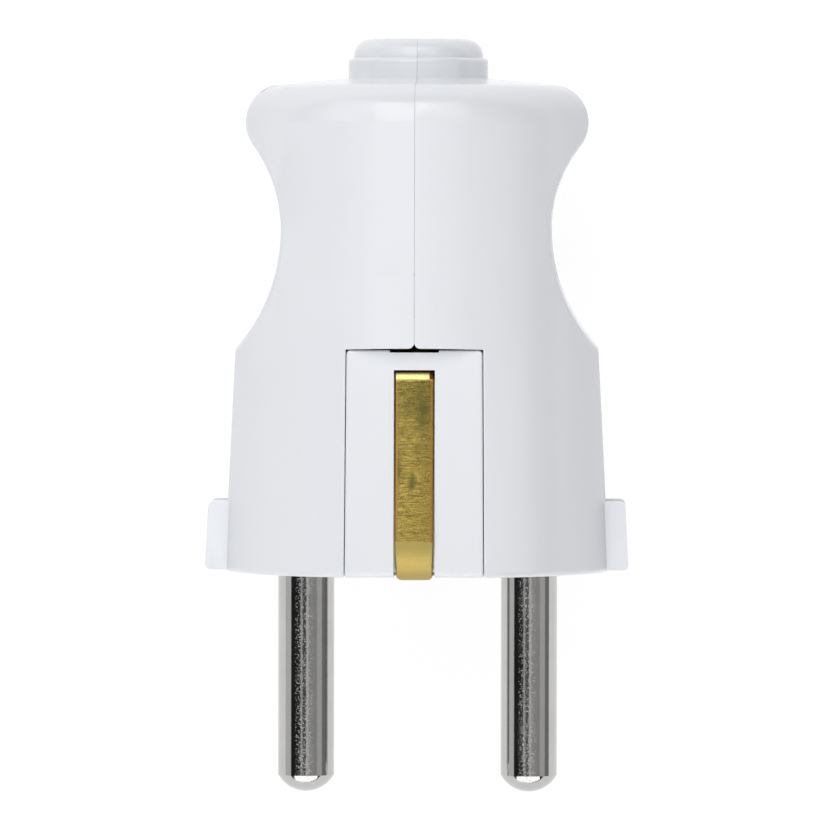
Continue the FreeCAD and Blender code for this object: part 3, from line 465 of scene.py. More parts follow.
@dataclass(frozen=True)
class BrassFinish(Finish):
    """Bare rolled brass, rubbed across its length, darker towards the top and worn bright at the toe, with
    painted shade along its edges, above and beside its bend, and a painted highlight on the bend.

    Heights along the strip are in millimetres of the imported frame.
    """

    low: Colour = (0.525, 0.393, 0.10)
    middle: Colour = (0.51, 0.38, 0.094)
    high: Colour = (0.32, 0.25, 0.064)
    worn: Colour = (0.455, 0.352, 0.112)
    # tone of the listed dark patches, some at the strip's top and along its left edge
    patch_tone: Colour = (0.13, 0.115, 0.035)
    # painted shade: brown of the slot's shaded walls as the rounded long edges reflect them
    edge: Colour = (0.40, 0.21, 0.05)
    # painted highlight: pale brass of the bend where it catches the light
    bend: Colour = (0.50, 0.455, 0.20)
    # painted shade: near black of the recess above the bend and beside its right end
    recess_shade: Colour = (0.07, 0.025, 0.002)
    crease: float = -10.25
    crease_blur: tuple[float, float] = (0.15, 0.3)
    crease_wave: float = 0.4
    brow: float = 3.2
    bend_from: float = 3.28
    bend_blur: float = 0.08
    bend_to: float = 3.80
    bend_end: float = 1.2
    edge_shade_at: float = 1.32
    edge_shade_share: float = 0.75
    blur: float = 0.1
    cloud_scale: float = 1.6
    grain_scale: float = 9.0
    grain_share: float = 0.8
    rub_run: Triple = (0.16, 1.0, 1.0)
    rub_scale: float = 9.0
    rubs: tuple[float, float] = (0.65, 1.15)
    rub_shade: float = 0.32
    scratch_above: float = 0.62
    scratch_share: float = 0.1
    speck_scale: float = 5.0
    speck_above: float = 0.7
    speck_share: float = 0.5
    speck_height: float = 0.8
    roughness: tuple[float, float] = (0.36, 0.26)
    relief: float = 1.2
    worn_matt: float = 0.2
    worn_relief: float = 0.15
    ragged: float = 1.6
    ragged_rim: tuple[float, float] = (0.9, 1.9)
    dark_patches: tuple[DarkPatch, ...] = (
        DarkPatch(0.65, 0.7, 0.75, 2.0, 0.9),
        DarkPatch(-0.7, 1.0, 0.9, 1.3, 0.35),
        DarkPatch(-1.3, -4.2, 0.3, 2.2, 0.8),
        DarkPatch(-0.2, -5.4, 0.4, 1.1, 0.9),
        DarkPatch(0.1, -2.6, 1.0, 0.9, 0.2),
    )

    def material(self) -> bpy.types.Material:
        """Build the brass with its gradient, rub lines, dark patches, painted brown shade along the edges
        and a painted highlight on the bend.

        Returns:
            The material.
        """
        material, tree, shader, place = self.start()
        parts = tree.parts(place)
        grain = self.group(tree, ShaderGroups.grain(), place, self.cloud_scale, self.grain_scale)
        across = tree.stretch(place, self.rub_run)
        rubbed = self.group(tree, ShaderGroups.lines(), across, self.rub_scale, self.scratch_above)
        specks = self.group(tree, ShaderGroups.specks(), place, self.speck_scale, self.speck_above)
        specks = specks["Specks"]
        # colour darker towards the top of the strip
        rise = tree.span(parts["Y"], self.crease, self.brow, 0.0, 1.0)
        tone = tree.ramp(rise, [(0.0, self.low), (0.5, self.middle), (1.0, self.high)])
        wave = tree.math("MULTIPLY", grain["Cloud"], self.crease_wave)
        start, end = (self.crease + blur for blur in self.crease_blur)
        flat = tree.span(tree.math("ADD", parts["Y"], wave), start, end, 0.0, 1.0)
        fine = tree.math("MULTIPLY", grain["Grain"], self.grain_share)
        fine = tree.math("ADD", rubbed["Lines"], fine)
        scratches = tree.math("MULTIPLY", rubbed["Scratches"], self.scratch_share)
        fine = tree.math("SUBTRACT", fine, scratches)
        shade = tree.span(fine, *self.rubs, self.rub_shade, 1.0)
        shade = tree.ramp(shade, [(0.0, (0, 0, 0)), (1.0, (1, 1, 1))])
        lined = tree.mix(1.0, tone, shade, "MULTIPLY")
        # the specks take the bend's painted highlight colour, as small bright painted glints
        lined = tree.mix(tree.math("MULTIPLY", specks, self.speck_share), lined, self.bend)
        # darker patches at the listed places, with ragged rims
        lined = tree.mix(self._dark_patch_mask(tree, parts, grain["Cloud"]), lined, self.patch_tone)
        tone = tree.mix(flat, self.worn, lined)
        # painted shade: brown bands along both long edges, above the crease
        aside = tree.math("ABSOLUTE", parts["X"])
        side = tree.span(aside, self.edge_shade_at, self.edge_shade_at + self.blur, 0.0, self.edge_shade_share)
        tone = tree.mix(tree.math("MULTIPLY", side, flat), tone, self.edge)
        tree.link(self._painted_bend_light(tree, parts, tone), shader, "Base Color")
        rough = tree.span(fine, *self.rubs, *self.roughness)
        matt = tree.span(flat, 0.0, 1.0, self.worn_matt, 0.0)
        tree.link(tree.math("ADD", rough, matt), shader, "Roughness")
        height = tree.math("MULTIPLY", specks, self.speck_height)
        height = tree.math("ADD", rubbed["Lines"], height)
        height = tree.math("MULTIPLY", height, tree.span(flat, 0.0, 1.0, self.worn_relief, 1.0))
        tree.link(tree.bump(height, 1.0, self.relief), shader, "Normal")
        shader.inputs["Metallic"].default_value = 1.0
        return material

    def _dark_patch_mask(self, tree: Tree, parts: Any, cloud: Socket) -> Socket:
        """Mask of the dark patches, with ragged rims.

        Args:
            tree: Helper of the material's tree.
            parts: Object coordinates in millimetres by axis.
            cloud: Noise that makes the rims ragged.

        Returns:
            The mask's socket.
        """
        whole: Any = 0.0
        for dark_patch in self.dark_patches:
            aside = tree.math("SUBTRACT", parts["X"], dark_patch.across)
            offset = tree.joined(aside, tree.math("SUBTRACT", parts["Y"], dark_patch.along))
            ray = tree.stretch(offset, (1.0 / dark_patch.half_across, 1.0 / dark_patch.half_along, 0.0))
            far = tree.out("ShaderNodeVectorMath", {0: ray}, "Value", operation="LENGTH")
            ragged = tree.math("ADD", far, tree.math("MULTIPLY", cloud, self.ragged))
            patch = tree.span(ragged, *self.ragged_rim, dark_patch.strength, 0.0)
            whole = tree.math("MAXIMUM", whole, patch)
        return whole

    def _painted_bend_light(self, tree: Tree, parts: Any, tone: Socket) -> Socket:
        """Add the bend's painted highlight, with painted dark brown shade above it and beside its right
        end, to the colour.

        Args:
            tree: Helper of the material's tree.
            parts: Object coordinates in millimetres by axis.
            tone: Colour of the rest of the strip.

        Returns:
            The strip's colour socket.
        """
        above = tree.span(parts["Y"], self.bend_from, self.bend_from + self.bend_blur, 0.0, 1.0)
        inside = tree.span(parts["X"], self.bend_end, self.bend_end + self.blur, 1.0, 0.0)
        below = tree.span(parts["Y"], self.bend_to, self.bend_to + self.blur, 1.0, 0.0)
        # painted highlight on the bend, painted shade above it and beside its right end
        bend_highlight_and_shade = tree.mix(tree.math("MULTIPLY", inside, below), self.recess_shade, self.bend)
        return tree.mix(above, tone, bend_highlight_and_shade)


@dataclass(frozen=True)
class FloorFinish(Finish):
    """Pale matt backdrop paper that glows a little, as on a light table."""

    colour: Colour = (0.15, 0.15, 0.15)
    mottle: float = 1.01
    mottle_scale: float = 0.02
    mottle_tones: tuple[float, float] = (0.3, 0.7)
    roughness: float = 0.9
    specular: float = 0.1
    glow: float = 0.885

    def material(self) -> bpy.types.Material:
        """Build the paper with a faint mottling and its own light.

        Returns:
            The material.
        """
        material, tree, shader, place = self.start()
        lighter = tuple(part * self.mottle for part in self.colour)
        stops = list(zip(self.mottle_tones, (self.colour, lighter)))
        tone = tree.ramp(tree.noise(place, self.mottle_scale), stops)
        tree.link(tone, shader, "Base Color")
        shader.inputs["Roughness"].default_value = self.roughness
        shader.inputs["Specular IOR Level"].default_value = self.specular
        shader.inputs["Emission Color"].default_value = (1.0, 1.0, 1.0, 1.0)
        shader.inputs["Emission Strength"].default_value = self.glow
        return material


@dataclass(frozen=True)
class PlugAxes:
    """The plug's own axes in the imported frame: along to the cord, front to the camera."""

    face: Vector
    along: Vector
    front: Vector
    across: Vector

    @classmethod
    def from_record(cls, record: dict[str, Any]) -> "PlugAxes":
        """Read the axes from the record's mounts.

        Args:
            record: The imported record.

        Returns:
            The plug's axes.
        """
        mounts = {mount["name"]: mount for mount in record["mounts"]}
        along = Vector(mounts["cord_entry"]["axis"]).normalized()
        across = Vector((1.0, 0.0, 0.0))
        return cls(Vector(mounts["engagement_face"]["pos_m"]), along, across.cross(along), across)

    def direction(self, across: float, front: float, along: float) -> Vector:
        """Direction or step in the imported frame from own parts."""
        return self.across * across + self.front * front + self.along * along

    def point(self, across: float, front: float, along: float) -> Vector:
        """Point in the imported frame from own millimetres."""
        return self.face + self.direction(across, front, along) * MM

    def matrix(self) -> Matrix:
        """Placement of a mesh drawn in metres as (against across, front, along)."""
        turn = Matrix((-self.across, self.front, self.along)).transposed().to_4x4()
        return Matrix.Translation(self.face) @ turn

    def toward(self, turn: float, rise: float) -> Vector:
        """Direction from the plug, in radians from its front and toward its cord end."""
        level = self.front * math.cos(turn) + self.across * math.sin(turn)
        return level * math.cos(rise) + self.along * math.sin(rise)


def dressed(nodes: dict[str, bpy.types.Object], finishes: dict[Slot, Finish]) -> list[str]:
    """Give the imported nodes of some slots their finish.

    Args:
        nodes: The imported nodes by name.
        finishes: The finish of each slot.

    Returns:
        Names of the dressed nodes.
    """
    materials = {slot.value: finish.material() for slot, finish in finishes.items()}
    names = []
    for name, node in nodes.items():
        holder = node.material_slots[0]
        if holder.material and holder.material.name in materials:
            holder.material = materials[holder.material.name]
            names.append(name)
    return names


@dataclass
class Housing:
    """The two moulded half shells, the contact carrier between them and the clamp bar."""

    plastic: PlasticFinish = field(default_factory=lambda: PlasticFinish("white_moulding"))

    def dress(self, nodes: dict[str, bpy.types.Object]) -> list[str]:
        """Give the mouldings their plastic and return their names."""
        return dressed(nodes, {Slot.PLASTIC: self.plastic})


@dataclass
class Contacts:
    """Plated pins, the brass earth strip with its washer and nut, and the zinc-plated steel."""

    plating: PinFinish = field(default_factory=lambda: PinFinish("bright_nickel"))
    brass: BrassFinish = field(default_factory=lambda: BrassFinish("rubbed_brass"))
    zinc: PlatedFinish = field(
        default_factory=lambda: PlatedFinish(
            "zinc_plate",
            bright=(0.60, 0.61, 0.63),
            dull=(0.50, 0.51, 0.53),
            roughness=(0.22, 0.36),
            run=(1.0, 1.0, 1.0),
            pits=9.0,
            depth=2.0,
        )
    )

    def dress(self, nodes: dict[str, bpy.types.Object]) -> list[str]:
        """Give every metal node its finish and return their names."""
        return dressed(nodes, {Slot.NICKEL: self.plating, Slot.BRASS: self.brass, Slot.ZINC: self.zinc})


def evaluated(base: bpy.types.Mesh, tree: bpy.types.NodeTree, values: dict[str, Any]) -> bpy.types.Mesh:
    """Run a geometry node tree once and keep its result as a plain mesh.

    Args:
        base: Mesh that the tree starts from.
        tree: The geometry node tree.
        values: Values of the tree's inputs by name.

    Returns:
        The resulting mesh, smooth except at its sharp edges.
    """
    blank = bpy.data.objects.new("blank", base)
    bpy.context.scene.collection.objects.link(blank)
    modifier = blank.modifiers.new("maker", "NODES")
    modifier.node_group = tree
    for socket in tree.interface.items_tree:
        if socket.item_type == "SOCKET" and socket.in_out == "INPUT" and socket.name in values:
            modifier[socket.identifier] = values[socket.name]
    graph = bpy.context.evaluated_depsgraph_get()
    mesh = bpy.data.meshes.new_from_object(blank.evaluated_get(graph))
    bpy.data.objects.remove(blank)
    mesh.shade_smooth()
    mesh.set_sharp_from_angle(angle=math.radians(SHARP))
    return mesh


def placed(mesh: bpy.types.Mesh, name: str, node: str) -> bpy.types.Object:
    """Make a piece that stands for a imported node.

    Args:
        mesh: The piece's mesh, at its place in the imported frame.
        name: Name of the piece.
        node: The node that it replaces.

    Returns:
        The piece, riding on the plug's body.
    """
    mesh.name = name
    piece = bpy.data.objects.new(name, mesh)
    bpy.context.scene.collection.objects.link(piece)
    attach(piece, BODY)
    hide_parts(node)
    return piece


@dataclass(frozen=True)
class ScrewSize:
    """One screw by its place in own millimetres: seat under the head, and the way its head faces."""

    node: str
    thread: float
    head: float
    height: float
    length: float
    pitch: float
    seat: Triple
    facing: Triple


@dataclass
class Screws:
    """Slotted cheese-head screws with real threads, all from one node tree."""

    slot: float = 0.8
    slot_reach: float = 3.0
    edge: float = 0.3
    sides: int = 40
    head_points: int = 40
    core_points: int = 4
    turn_points: int = 24
    ridge_sides: int = 4
    core_depth: float = 0.6
    core_overlap: float = 0.5
    ridge_half: float = 0.5
    sizes: tuple[ScrewSize, ...] = (
        ScrewSize("housing_screw", 1.5, 2.8, 2.2, 20.0, 0.5, (-8.8, 0.0, 27.2), (-1, 0, 0)),
        ScrewSize("line_terminal_screw", 1.5, 2.5, 1.8, 2.5, 0.5, (-9.5, 3.5, 11.0), (0, 1, 0)),
        ScrewSize("neutral_terminal_screw", 1.5, 2.5, 1.8, 2.5, 0.5, (9.5, 3.5, 11.0), (0, 1, 0)),
        ScrewSize("earth_terminal_screw", 2.0, 3.5, 2.4, 8.0, 0.7, (0.0, 0.0, 19.7), (0, 0, 1)),
        ScrewSize("cord_clamp_screw_front", 1.5, 2.2, 1.8, 9.9, 0.5, (4.8, 6.6, 35.4), (1, 0, 0)),
        ScrewSize("cord_clamp_screw_rear", 1.5, 2.2, 1.8, 9.9, 0.5, (4.8, -6.6, 35.4), (1, 0, 0)),
    )

    def tree(self) -> bpy.types.NodeTree:
        """Build the screw's node tree: rounded head with a slot, core and helical thread.

        Returns:
            The geometry node tree, sized in metres.
        """
        group = bpy.data.node_groups.new("slotted_screw", "GeometryNodeTree")
        sizes = ("Head Radius", "Head Height", "Edge Round", "Thread Radius", "Length", "Pitch")
        for label in (*sizes, "Slot Width"):
            group.interface.new_socket(label, in_out="INPUT", socket_type="NodeSocketFloat")
        group.interface.new_socket("Metal", in_out="INPUT", socket_type="NodeSocketMaterial")
        group.interface.new_socket("Geometry", in_out="OUTPUT", socket_type="NodeSocketGeometry")
        tree = Tree(group)
        size = tree.add("NodeGroupInput").outputs
        head = self._turned_head(tree, size)
        wide = tree.math("MULTIPLY", size["Head Radius"], self.slot_reach)
        block = tree.joined(wide, size["Slot Width"], size["Head Height"])
        cutter = tree.out("GeometryNodeMeshCube", {"Size": block}, "Mesh")
        cutter = tree.moved(cutter, tree.joined(z=size["Head Height"]))
        head = tree.boolean("DIFFERENCE", {"Mesh 1": head, "Mesh 2": cutter})
        pieces = [head, self._core(tree, size), self._thread(tree, size)]
        whole = tree.out("GeometryNodeJoinGeometry", {"Geometry": pieces})
        tree.finished(whole, size["Metal"])
        return group

    def _round_bar(self, tree: Tree, ends: tuple[Socket, Socket], radius: Socket, count: int) -> Socket:
        """Sweep a circle along a straight line.

        Args:
            tree: Helper of the node tree.
            ends: Lower and upper end on the axis.
            radius: Radius, also as a field along the line.
            count: Points along the line.

        Returns:
            The capped mesh.
        """
        line = tree.out("GeometryNodeCurvePrimitiveLine", {"Start": ends[0], "End": ends[1]})
        line = tree.out("GeometryNodeResampleCurve", {"Curve": line, "Count": count})
        inputs = {"Resolution": self.sides, "Radius": 1.0}
        return tree.sweep(line, tree.out("GeometryNodeCurvePrimitiveCircle", inputs), radius)

    def _turned_head(self, tree: Tree, size: Any) -> Socket:
        """Head whose upper edge is rounded over a quarter circle.

        Args:
            tree: Helper of the node tree.
            size: The tree's inputs by name.

        Returns:
            The head's mesh.
        """
        along = tree.out("GeometryNodeSplineParameter", key="Length")
        rim = tree.math("SUBTRACT", size["Head Height"], size["Edge Round"])
        above = tree.math("MAXIMUM", tree.math("SUBTRACT", along, rim), 0.0)
        part = tree.math("MINIMUM", tree.math("DIVIDE", above, size["Edge Round"]), 1.0)
        fall = tree.math("SQRT", tree.math("SUBTRACT", 1.0, tree.math("MULTIPLY", part, part)))
        inset = tree.math("MULTIPLY", tree.math("SUBTRACT", 1.0, fall), size["Edge Round"])
        radius = tree.math("SUBTRACT", size["Head Radius"], inset)
        ends = (tree.joined(), tree.joined(z=size["Head Height"]))
        return self._round_bar(tree, ends, radius, self.head_points)

    def _core(self, tree: Tree, size: Any) -> Socket:
        """Plain core of the thread, from the tip up into the head.

        Args:
            tree: Helper of the node tree.
            size: The tree's inputs by name.

        Returns:
            The core's mesh.
        """
        depth = tree.math("MULTIPLY", size["Pitch"], self.core_depth)
        root = tree.math("SUBTRACT", size["Thread Radius"], depth)
        low = tree.joined(z=tree.math("MULTIPLY", size["Length"], -1.0))
        high = tree.joined(z=tree.math("MULTIPLY", size["Edge Round"], self.core_overlap))
        return self._round_bar(tree, (low, high), root, self.core_points)

    def _thread(self, tree: Tree, size: Any) -> Socket:
        """Helical ridge of one pitch per turn around the core.

        Args:
            tree: Helper of the node tree.
            size: The tree's inputs by name.

        Returns:
            The ridge's mesh.
        """
        ridge = tree.math("MULTIPLY", size["Pitch"], self.ridge_half)
        run = tree.math("SUBTRACT", size["Length"], size["Pitch"])
        turns = tree.math("DIVIDE", run, size["Pitch"])
        middle = tree.math("SUBTRACT", size["Thread Radius"], ridge)
        inputs = {"Resolution": self.turn_points, "Rotations": turns, "Height": run}
        inputs.update({"Start Radius": middle, "End Radius": middle})
        helix = tree.out("GeometryNodeCurveSpiral", inputs)
        inputs = {"Resolution": self.ridge_sides, "Radius": ridge}
        profile = tree.out("GeometryNodeCurvePrimitiveCircle", inputs)
        drop = tree.joined(z=tree.math("SUBTRACT", ridge, size["Length"]))
        return tree.moved(tree.sweep(helix, profile), drop)

    def build(self, axes: PlugAxes, metal: bpy.types.Material) -> list[bpy.types.Object]:
        """Make every screw as a plain mesh at its place.

        Args:
            axes: The plug's axes.
            metal: Finish of the screws.

        Returns:
            The new pieces.
        """
        tree = self.tree()
        return [self._one(tree, size, axes, metal) for size in self.sizes]

    def _one(
        self, tree: bpy.types.NodeTree, size: ScrewSize, axes: PlugAxes, metal: bpy.types.Material
    ) -> bpy.types.Object:
        """Evaluate the tree for one screw.

        Args:
            tree: The screw's node tree.
            size: Sizes and place of this screw.
            axes: The plug's axes.
            metal: Finish of the screw.

        Returns:
            The finished piece, riding on the plug's body in place of its node.
        """
        values = {
            "Head Radius": size.head * MM,
            "Head Height": size.height * MM,
            "Edge Round": self.edge * MM,
            "Thread Radius": size.thread * MM,
            "Length": size.length * MM,
            "Pitch": size.pitch * MM,
            "Slot Width": self.slot * MM,
            "Metal": metal,
        }
        mesh = evaluated(bpy.data.meshes.new("screw_blank"), tree, values)
        up = axes.direction(*size.facing).normalized()
        side = up.cross(axes.along if abs(up.dot(axes.along)) < 0.5 else axes.across).normalized()
        turn = Matrix((side, up.cross(side), up)).transposed().to_4x4()
        mesh.transform(Matrix.Translation(axes.point(*size.seat)) @ turn)
        return placed(mesh, f"{size.node}_threaded", size.node)


@dataclass
class EarthStrip:
    """Brass strip bent over the carrier: a band along a path, with a pad and its hole in the middle.

    The leg lists (front, along, bend) in own millimetres from the pad's middle to the hook.
    """

    width: float = 3.28
    thickness: float = 0.6
    edge: float = 0.14
    toe_width: float = 3.0
    toe_height: float = 2.9
    toe_corner: float = 0.45
    sole: float = -0.31
    pad: float = 8.0
    pad_round: float = 1.5
    hole: float = 2.08
    hole_sides: int = 40
    bend_points: int = 14
    corner_points: int = 5
    leg: tuple[Triple, ...] = (
        (0.0, 18.6, 0.0),
        (13.782, 18.6, 0.5),
        (13.782, 17.57, 0.35),
        (14.402, 16.95, 0.35),
        (14.602, 16.4, 0.35),
        (15.692, 3.2, 0.0),
        (15.957, 0.0, 2.8),
        (10.7, 0.0, 0.5),
        (10.7, 1.5, 0.0),
    )

    def tree(self) -> bpy.types.NodeTree:
        """Build the strip's node tree: path with rounded bends, band, narrowed toe, pad and hole.

        Returns:
            The geometry node tree, sized in metres.
        """
        group = bpy.data.node_groups.new("bent_strip", "GeometryNodeTree")
        group.interface.new_socket("Path", in_out="INPUT", socket_type="NodeSocketGeometry")
        for label in self.values():
            group.interface.new_socket(label, in_out="INPUT", socket_type="NodeSocketFloat")
        group.interface.new_socket("Metal", in_out="INPUT", socket_type="NodeSocketMaterial")
        group.interface.new_socket("Geometry", in_out="OUTPUT", socket_type="NodeSocketGeometry")
        tree = Tree(group)
        size = tree.add("NodeGroupInput").outputs
        band = self._narrowed(tree, size, self._band(tree, size))
        whole = tree.boolean("UNION", {"Mesh 2": [band, self._plate(tree, size)]})
        inputs = {"Vertices": self.hole_sides, "Radius": size["Hole"], "Depth": size["Pad"]}
        drill = tree.out("GeometryNodeMeshCylinder", inputs, "Mesh")
        drill = tree.moved(drill, tree.joined(z=size["Level"]))
        whole = tree.boolean("DIFFERENCE", {"Mesh 1": whole, "Mesh 2": drill})
        tree.finished(whole, size["Metal"])
        return group

    def values(self) -> dict[str, float]:
        """List the sizes of the node tree's inputs.

        Returns:
            Sizes in metres by the input's name.
        """
        sizes = {
            "Width": self.width,
            "Thickness": self.thickness,
            "Edge Round": self.edge,
            "Toe Width": self.toe_width,
            "Toe Height": self.toe_height,
            "Toe Corner": self.toe_corner,
            "Sole": self.sole,
            "Pad": self.pad,
            "Pad Round": self.pad_round,
            "Hole": self.hole,
            "Level": self.leg[0][1],
        }
        return {label: value * MM for label, value in sizes.items()}

    def _rounded(self, tree: Tree, width: Socket, height: Socket, radius: Socket) -> Socket:
        """Rectangle with rounded corners.

        Args:
            tree: Helper of the node tree.
            width: Size across.
            height: Size the other way.
            radius: Radius of the corners.

        Returns:
            The outline's curve.
        """
        inputs = {"Width": width, "Height": height}
        outline = tree.out("GeometryNodeCurvePrimitiveQuadrilateral", inputs)
        inputs = {"Curve": outline, "Count": self.corner_points, "Radius": radius}
        return tree.out("GeometryNodeFilletCurve", inputs, mode="POLY")

    def _band(self, tree: Tree, size: Any) -> Socket:
        """Sweep the strip's section along its path with rounded bends.

        Args:
            tree: Helper of the node tree.
            size: The tree's inputs by name.

        Returns:
            The band's mesh.
        """
        path = tree.out("GeometryNodeMeshToCurve", {"Mesh": size["Path"]})
        bend = tree.out("GeometryNodeInputNamedAttribute", {"Name": "bend"}, data_type="FLOAT")
        inputs = {"Curve": path, "Count": self.bend_points, "Radius": bend}
        path = tree.out("GeometryNodeFilletCurve", inputs, mode="POLY")
        inputs = {"Curve": path, "Normal": (1.0, 0.0, 0.0)}
        path = tree.out("GeometryNodeSetCurveNormal", inputs, mode="FREE")
        section = self._rounded(tree, size["Width"], size["Thickness"], size["Edge Round"])
        return tree.sweep(path, section)

    @staticmethod
    def _narrowed(tree: Tree, size: Any, band: Socket) -> Socket:
        """Draw the legs in toward the toe and round the toe's corners.

        Args:
            tree: Helper of the node tree.
            size: The tree's inputs by name.
            band: The band's mesh.

        Returns:
            The mesh with narrowed legs.
        """
        parts = tree.parts(tree.out("GeometryNodeInputPosition"))
        half = tree.math("MULTIPLY", size["Width"], 0.5)
        toe = tree.math("MULTIPLY", size["Toe Width"], 0.5)
        taper = tree.span(parts["Z"], size["Sole"], size["Toe Height"], toe, half)
        rise = tree.math("SUBTRACT", parts["Z"], size["Sole"])
        short = tree.math("MAXIMUM", tree.math("SUBTRACT", size["Toe Corner"], rise), 0.0)
        square = tree.math("MULTIPLY", size["Toe Corner"], size["Toe Corner"])
        left = tree.math("SUBTRACT", square, tree.math("MULTIPLY", short, short))
        left = tree.math("MAXIMUM", left, 0.0)
        cut = tree.math("SUBTRACT", size["Toe Corner"], tree.math("SQRT", left))
        share = tree.math("DIVIDE", tree.math("SUBTRACT", taper, cut), half)
        place = tree.joined(tree.math("MULTIPLY", parts["X"], share), parts["Y"], parts["Z"])
        return tree.out("GeometryNodeSetPosition", {"Geometry": band, "Position": place})

    def _plate(self, tree: Tree, size: Any) -> Socket:
        """Square pad of the strip's thickness with rounded corners.

        Args:
            tree: Helper of the node tree.
            size: The tree's inputs by name.

        Returns:
            The pad's mesh.
        """
        half = tree.math("MULTIPLY", size["Thickness"], 0.5)
        low = tree.joined(z=tree.math("SUBTRACT", size["Level"], half))
        high = tree.joined(z=tree.math("ADD", size["Level"], half))
        line = tree.out("GeometryNodeCurvePrimitiveLine", {"Start": low, "End": high})
        outline = self._rounded(tree, size["Pad"], size["Pad"], size["Pad Round"])
        return tree.sweep(line, outline)

    def build(self, axes: PlugAxes, metal: bpy.types.Material) -> bpy.types.Object:
        """Make the strip as a plain mesh at its place.

        Args:
            axes: The plug's axes.
            metal: Finish of the strip.

        Returns:
            The finished piece, riding on the plug's body in place of its node.
        """
        rear = [(-front, along, bend) for front, along, bend in self.leg[:0:-1]]
        route = rear + list(self.leg)
        path = bpy.data.meshes.new("strip_path")
        points = [(0.0, front * MM, along * MM) for front, along, _ in route]
        path.from_pydata(points, [(k, k + 1) for k in range(len(route) - 1)], [])
        bends = path.attributes.new("bend", "FLOAT", "POINT")
        bends.data.foreach_set("value", [bend * MM for _, _, bend in route])
        values = {**self.values(), "Metal": metal}
        mesh = evaluated(path, self.tree(), values)
        mesh.transform(axes.matrix())
        return placed(mesh, "earth_strip_rounded", "earth_strip")


@dataclass(frozen=True)
class Softbox:
    """One flat light that fills a window of directions around the plug, in degrees."""

    name: str
    azimuth: tuple[float, float]
    elevation: tuple[float, float]
    radiance: float

    def build(self, axes: PlugAxes, middle: Vector, distance: float) -> bpy.types.Object:
        """Make the light.

        Args:
            axes: The plug's axes.
            middle: Point that the light faces.
            distance: Distance from that point in metres.

        Returns:
            The light object.
        """
        turn = math.radians(sum(self.azimuth) / 2)
        rise = math.radians(sum(self.elevation) / 2)
        half_turn = math.radians(self.azimuth[1] - self.azimuth[0]) / 2
        half_rise = math.radians(self.elevation[1] - self.elevation[0]) / 2
        light = bpy.data.lights.new(self.name, "AREA")
        light.shape = "RECTANGLE"
        light.size = 2 * distance * math.tan(half_turn) * math.cos(rise)
        light.size_y = 2 * distance * math.tan(half_rise)
        light.energy = self.radiance * math.pi * light.size * light.size_y
        out = axes.toward(turn, rise)
        side = axes.along.cross(out).normalized()
        pose = Matrix((side, out.cross(side), out)).transposed().to_4x4()
        lamp = bpy.data.objects.new(self.name, light)
        lamp.matrix_world = Matrix.Translation(middle + out * distance) @ pose
        bpy.context.scene.collection.objects.link(lamp)
        return lamp


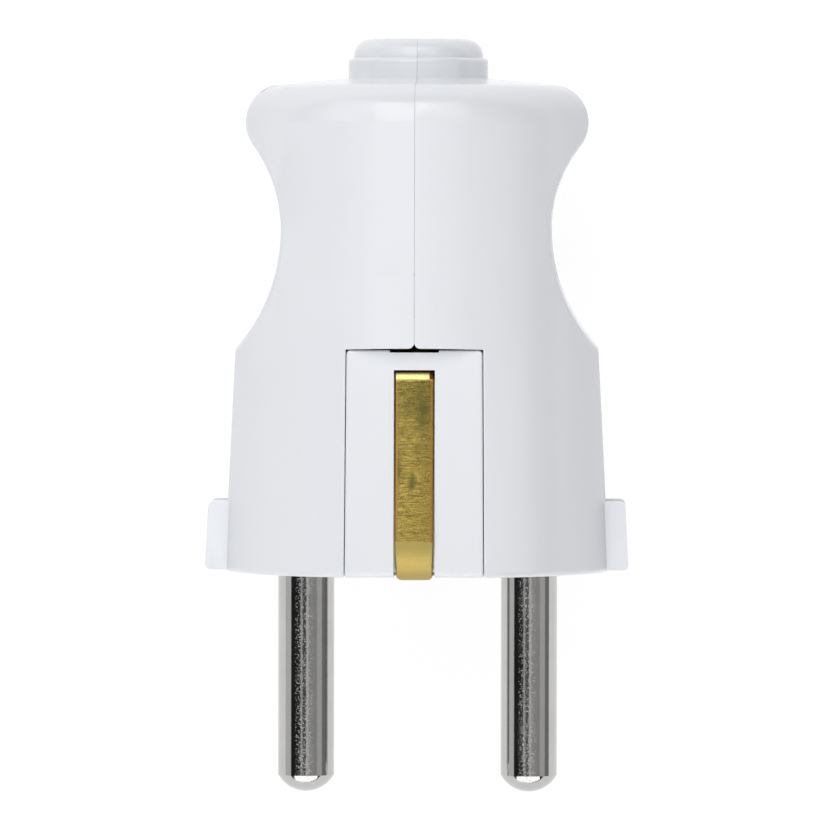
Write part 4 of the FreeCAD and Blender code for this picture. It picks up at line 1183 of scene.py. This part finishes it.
@dataclass
class Studio:
    """Floor, lights and camera."""

    floor_half: float = 1.5
    floor_drop: float = 0.00002
    sky: float = 0.02
    middle_along: float = 15.0
    distance: float = 735.0
    eye_along: float = 33.0
    aim_along: float = 13.415
    aim_across: float = -0.463
    yaw: float = 1.15
    roll: float = 0.095
    view_width: float = 70.32
    film: float = 36.0
    near_clip: float = 0.01
    paper: FloorFinish = field(default_factory=lambda: FloorFinish("floor_paper"))
    light_distance: float = 0.95
    lights: tuple[Softbox, ...] = (
        Softbox("upper_left", (-68, -30), (12, 62), 1.20),
        Softbox("upper_front", (-30, 6), (12, 62), 2.95),
        Softbox("upper_right", (6, 36), (12, 62), 1.65),
        Softbox("front_left", (-45, -30), (3.2, 12), 0.50),
        Softbox("grip_band", (-30, 6), (3.4, 6.2), 2.20),
        Softbox("grip_band_right", (6, 26), (3.4, 6.2), 1.20),
        Softbox("front_right", (26, 62), (2.4, 12), 0.25),
        Softbox("side_band", (38, 70), (0, 2.4), 2.20),
        Softbox("panel_band", (-30, 30), (0, 3.4), 0.70),
        Softbox("level_far_left", (-90, -63), (-8, 3), 0.70),
        Softbox("level_left_line", (-22, -14), (-8, 0), 0.48),
        Softbox("level_middle", (-14, 1), (-8, 0), 0.06),
        Softbox("level_right_line", (1, 11), (-8, 0), 0.65),
        Softbox("level_right_card", (11, 47), (-8, 0), 0.36),
        Softbox("level_side_line", (47, 70), (-8, 0), 0.54),
        Softbox("level_far_right", (70, 90), (-8, 3), 0.22),
        Softbox("lower_left", (-45, -20), (-62, -8), 1.40),
        Softbox("lower_middle", (-20, 6), (-25, -8), 0.95),
        Softbox("lower_front", (-20, 6), (-62, -25), 2.00),
        Softbox("lower_right", (6, 36), (-62, -8), 1.35),
        Softbox("tip_window", (-72, 64), (-89, -64), 2.00),
    )

    def floor(self) -> bpy.types.Object:
        """Make the plain pale floor.

        Returns:
            The floor object.
        """
        half, drop = self.floor_half, -self.floor_drop
        corners = [(-half, -half, drop), (half, -half, drop), (half, half, drop), (-half, half, drop)]
        mesh = bpy.data.meshes.new("floor")
        mesh.from_pydata(corners, [], [(0, 1, 2, 3)])
        mesh.materials.append(self.paper.material())
        floor = bpy.data.objects.new("floor", mesh)
        bpy.context.scene.collection.objects.link(floor)
        return floor

    def camera(self, axes: PlugAxes) -> bpy.types.Object:
        """Make the camera at the photograph's view.

        Args:
            axes: The plug's axes.

        Returns:
            The camera object.
        """
        turn = math.radians(self.yaw)
        eye = axes.point(self.distance * math.sin(turn), self.distance * math.cos(turn), self.eye_along)
        aim = axes.point(self.aim_across, 0.0, self.aim_along)
        back = (eye - aim).normalized()
        right = axes.along.cross(back).normalized()
        pose = Matrix((right, back.cross(right), back)).transposed().to_4x4()
        lens = bpy.data.cameras.new("photo_camera")
        lens.sensor_width = self.film
        lens.lens = self.film * (eye - aim).length / (self.view_width * MM)
        lens.clip_start = self.near_clip
        camera = bpy.data.objects.new("photo_camera", lens)
        tilt = Matrix.Rotation(math.radians(self.roll), 4, "Z")
        camera.matrix_world = Matrix.Translation(eye) @ pose @ tilt
        bpy.context.scene.collection.objects.link(camera)
        bpy.context.scene.camera = camera
        return camera

    def build(self, axes: PlugAxes) -> None:
        """Build the floor, the lights, the dim air and the camera.

        Args:
            axes: The plug's axes.
        """
        self.floor()
        middle = axes.point(0.0, 0.0, self.middle_along)
        for softbox in self.lights:
            softbox.build(axes, middle, self.light_distance)
        world = bpy.data.worlds.new("studio_air")
        world.use_nodes = True
        air = world.node_tree.nodes["Background"].inputs["Color"]
        air.default_value = (self.sky, self.sky, self.sky, 1.0)
        scene = bpy.context.scene
        scene.world = world
        scene.view_settings.view_transform = "Standard"
        self.camera(axes)


def main() -> None:
    """Dress the plug and build the studio around it."""
    logging.basicConfig(level=logging.INFO, format="%(message)s")
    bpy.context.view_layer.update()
    axes = PlugAxes.from_record(frame["record"])
    nodes = frame["nodes"]
    contacts = Contacts()
    for part in (Housing(), contacts):
        for name in part.dress(nodes):
            LOG.info("dressed %s", name)
    pieces = Screws().build(axes, bpy.data.materials[contacts.zinc.name])
    pieces.append(EarthStrip().build(axes, bpy.data.materials[contacts.brass.name]))
    for piece in pieces:
        LOG.info("built %s", piece.name)
    Studio().build(axes)


if __name__ == "__main__":
    main()
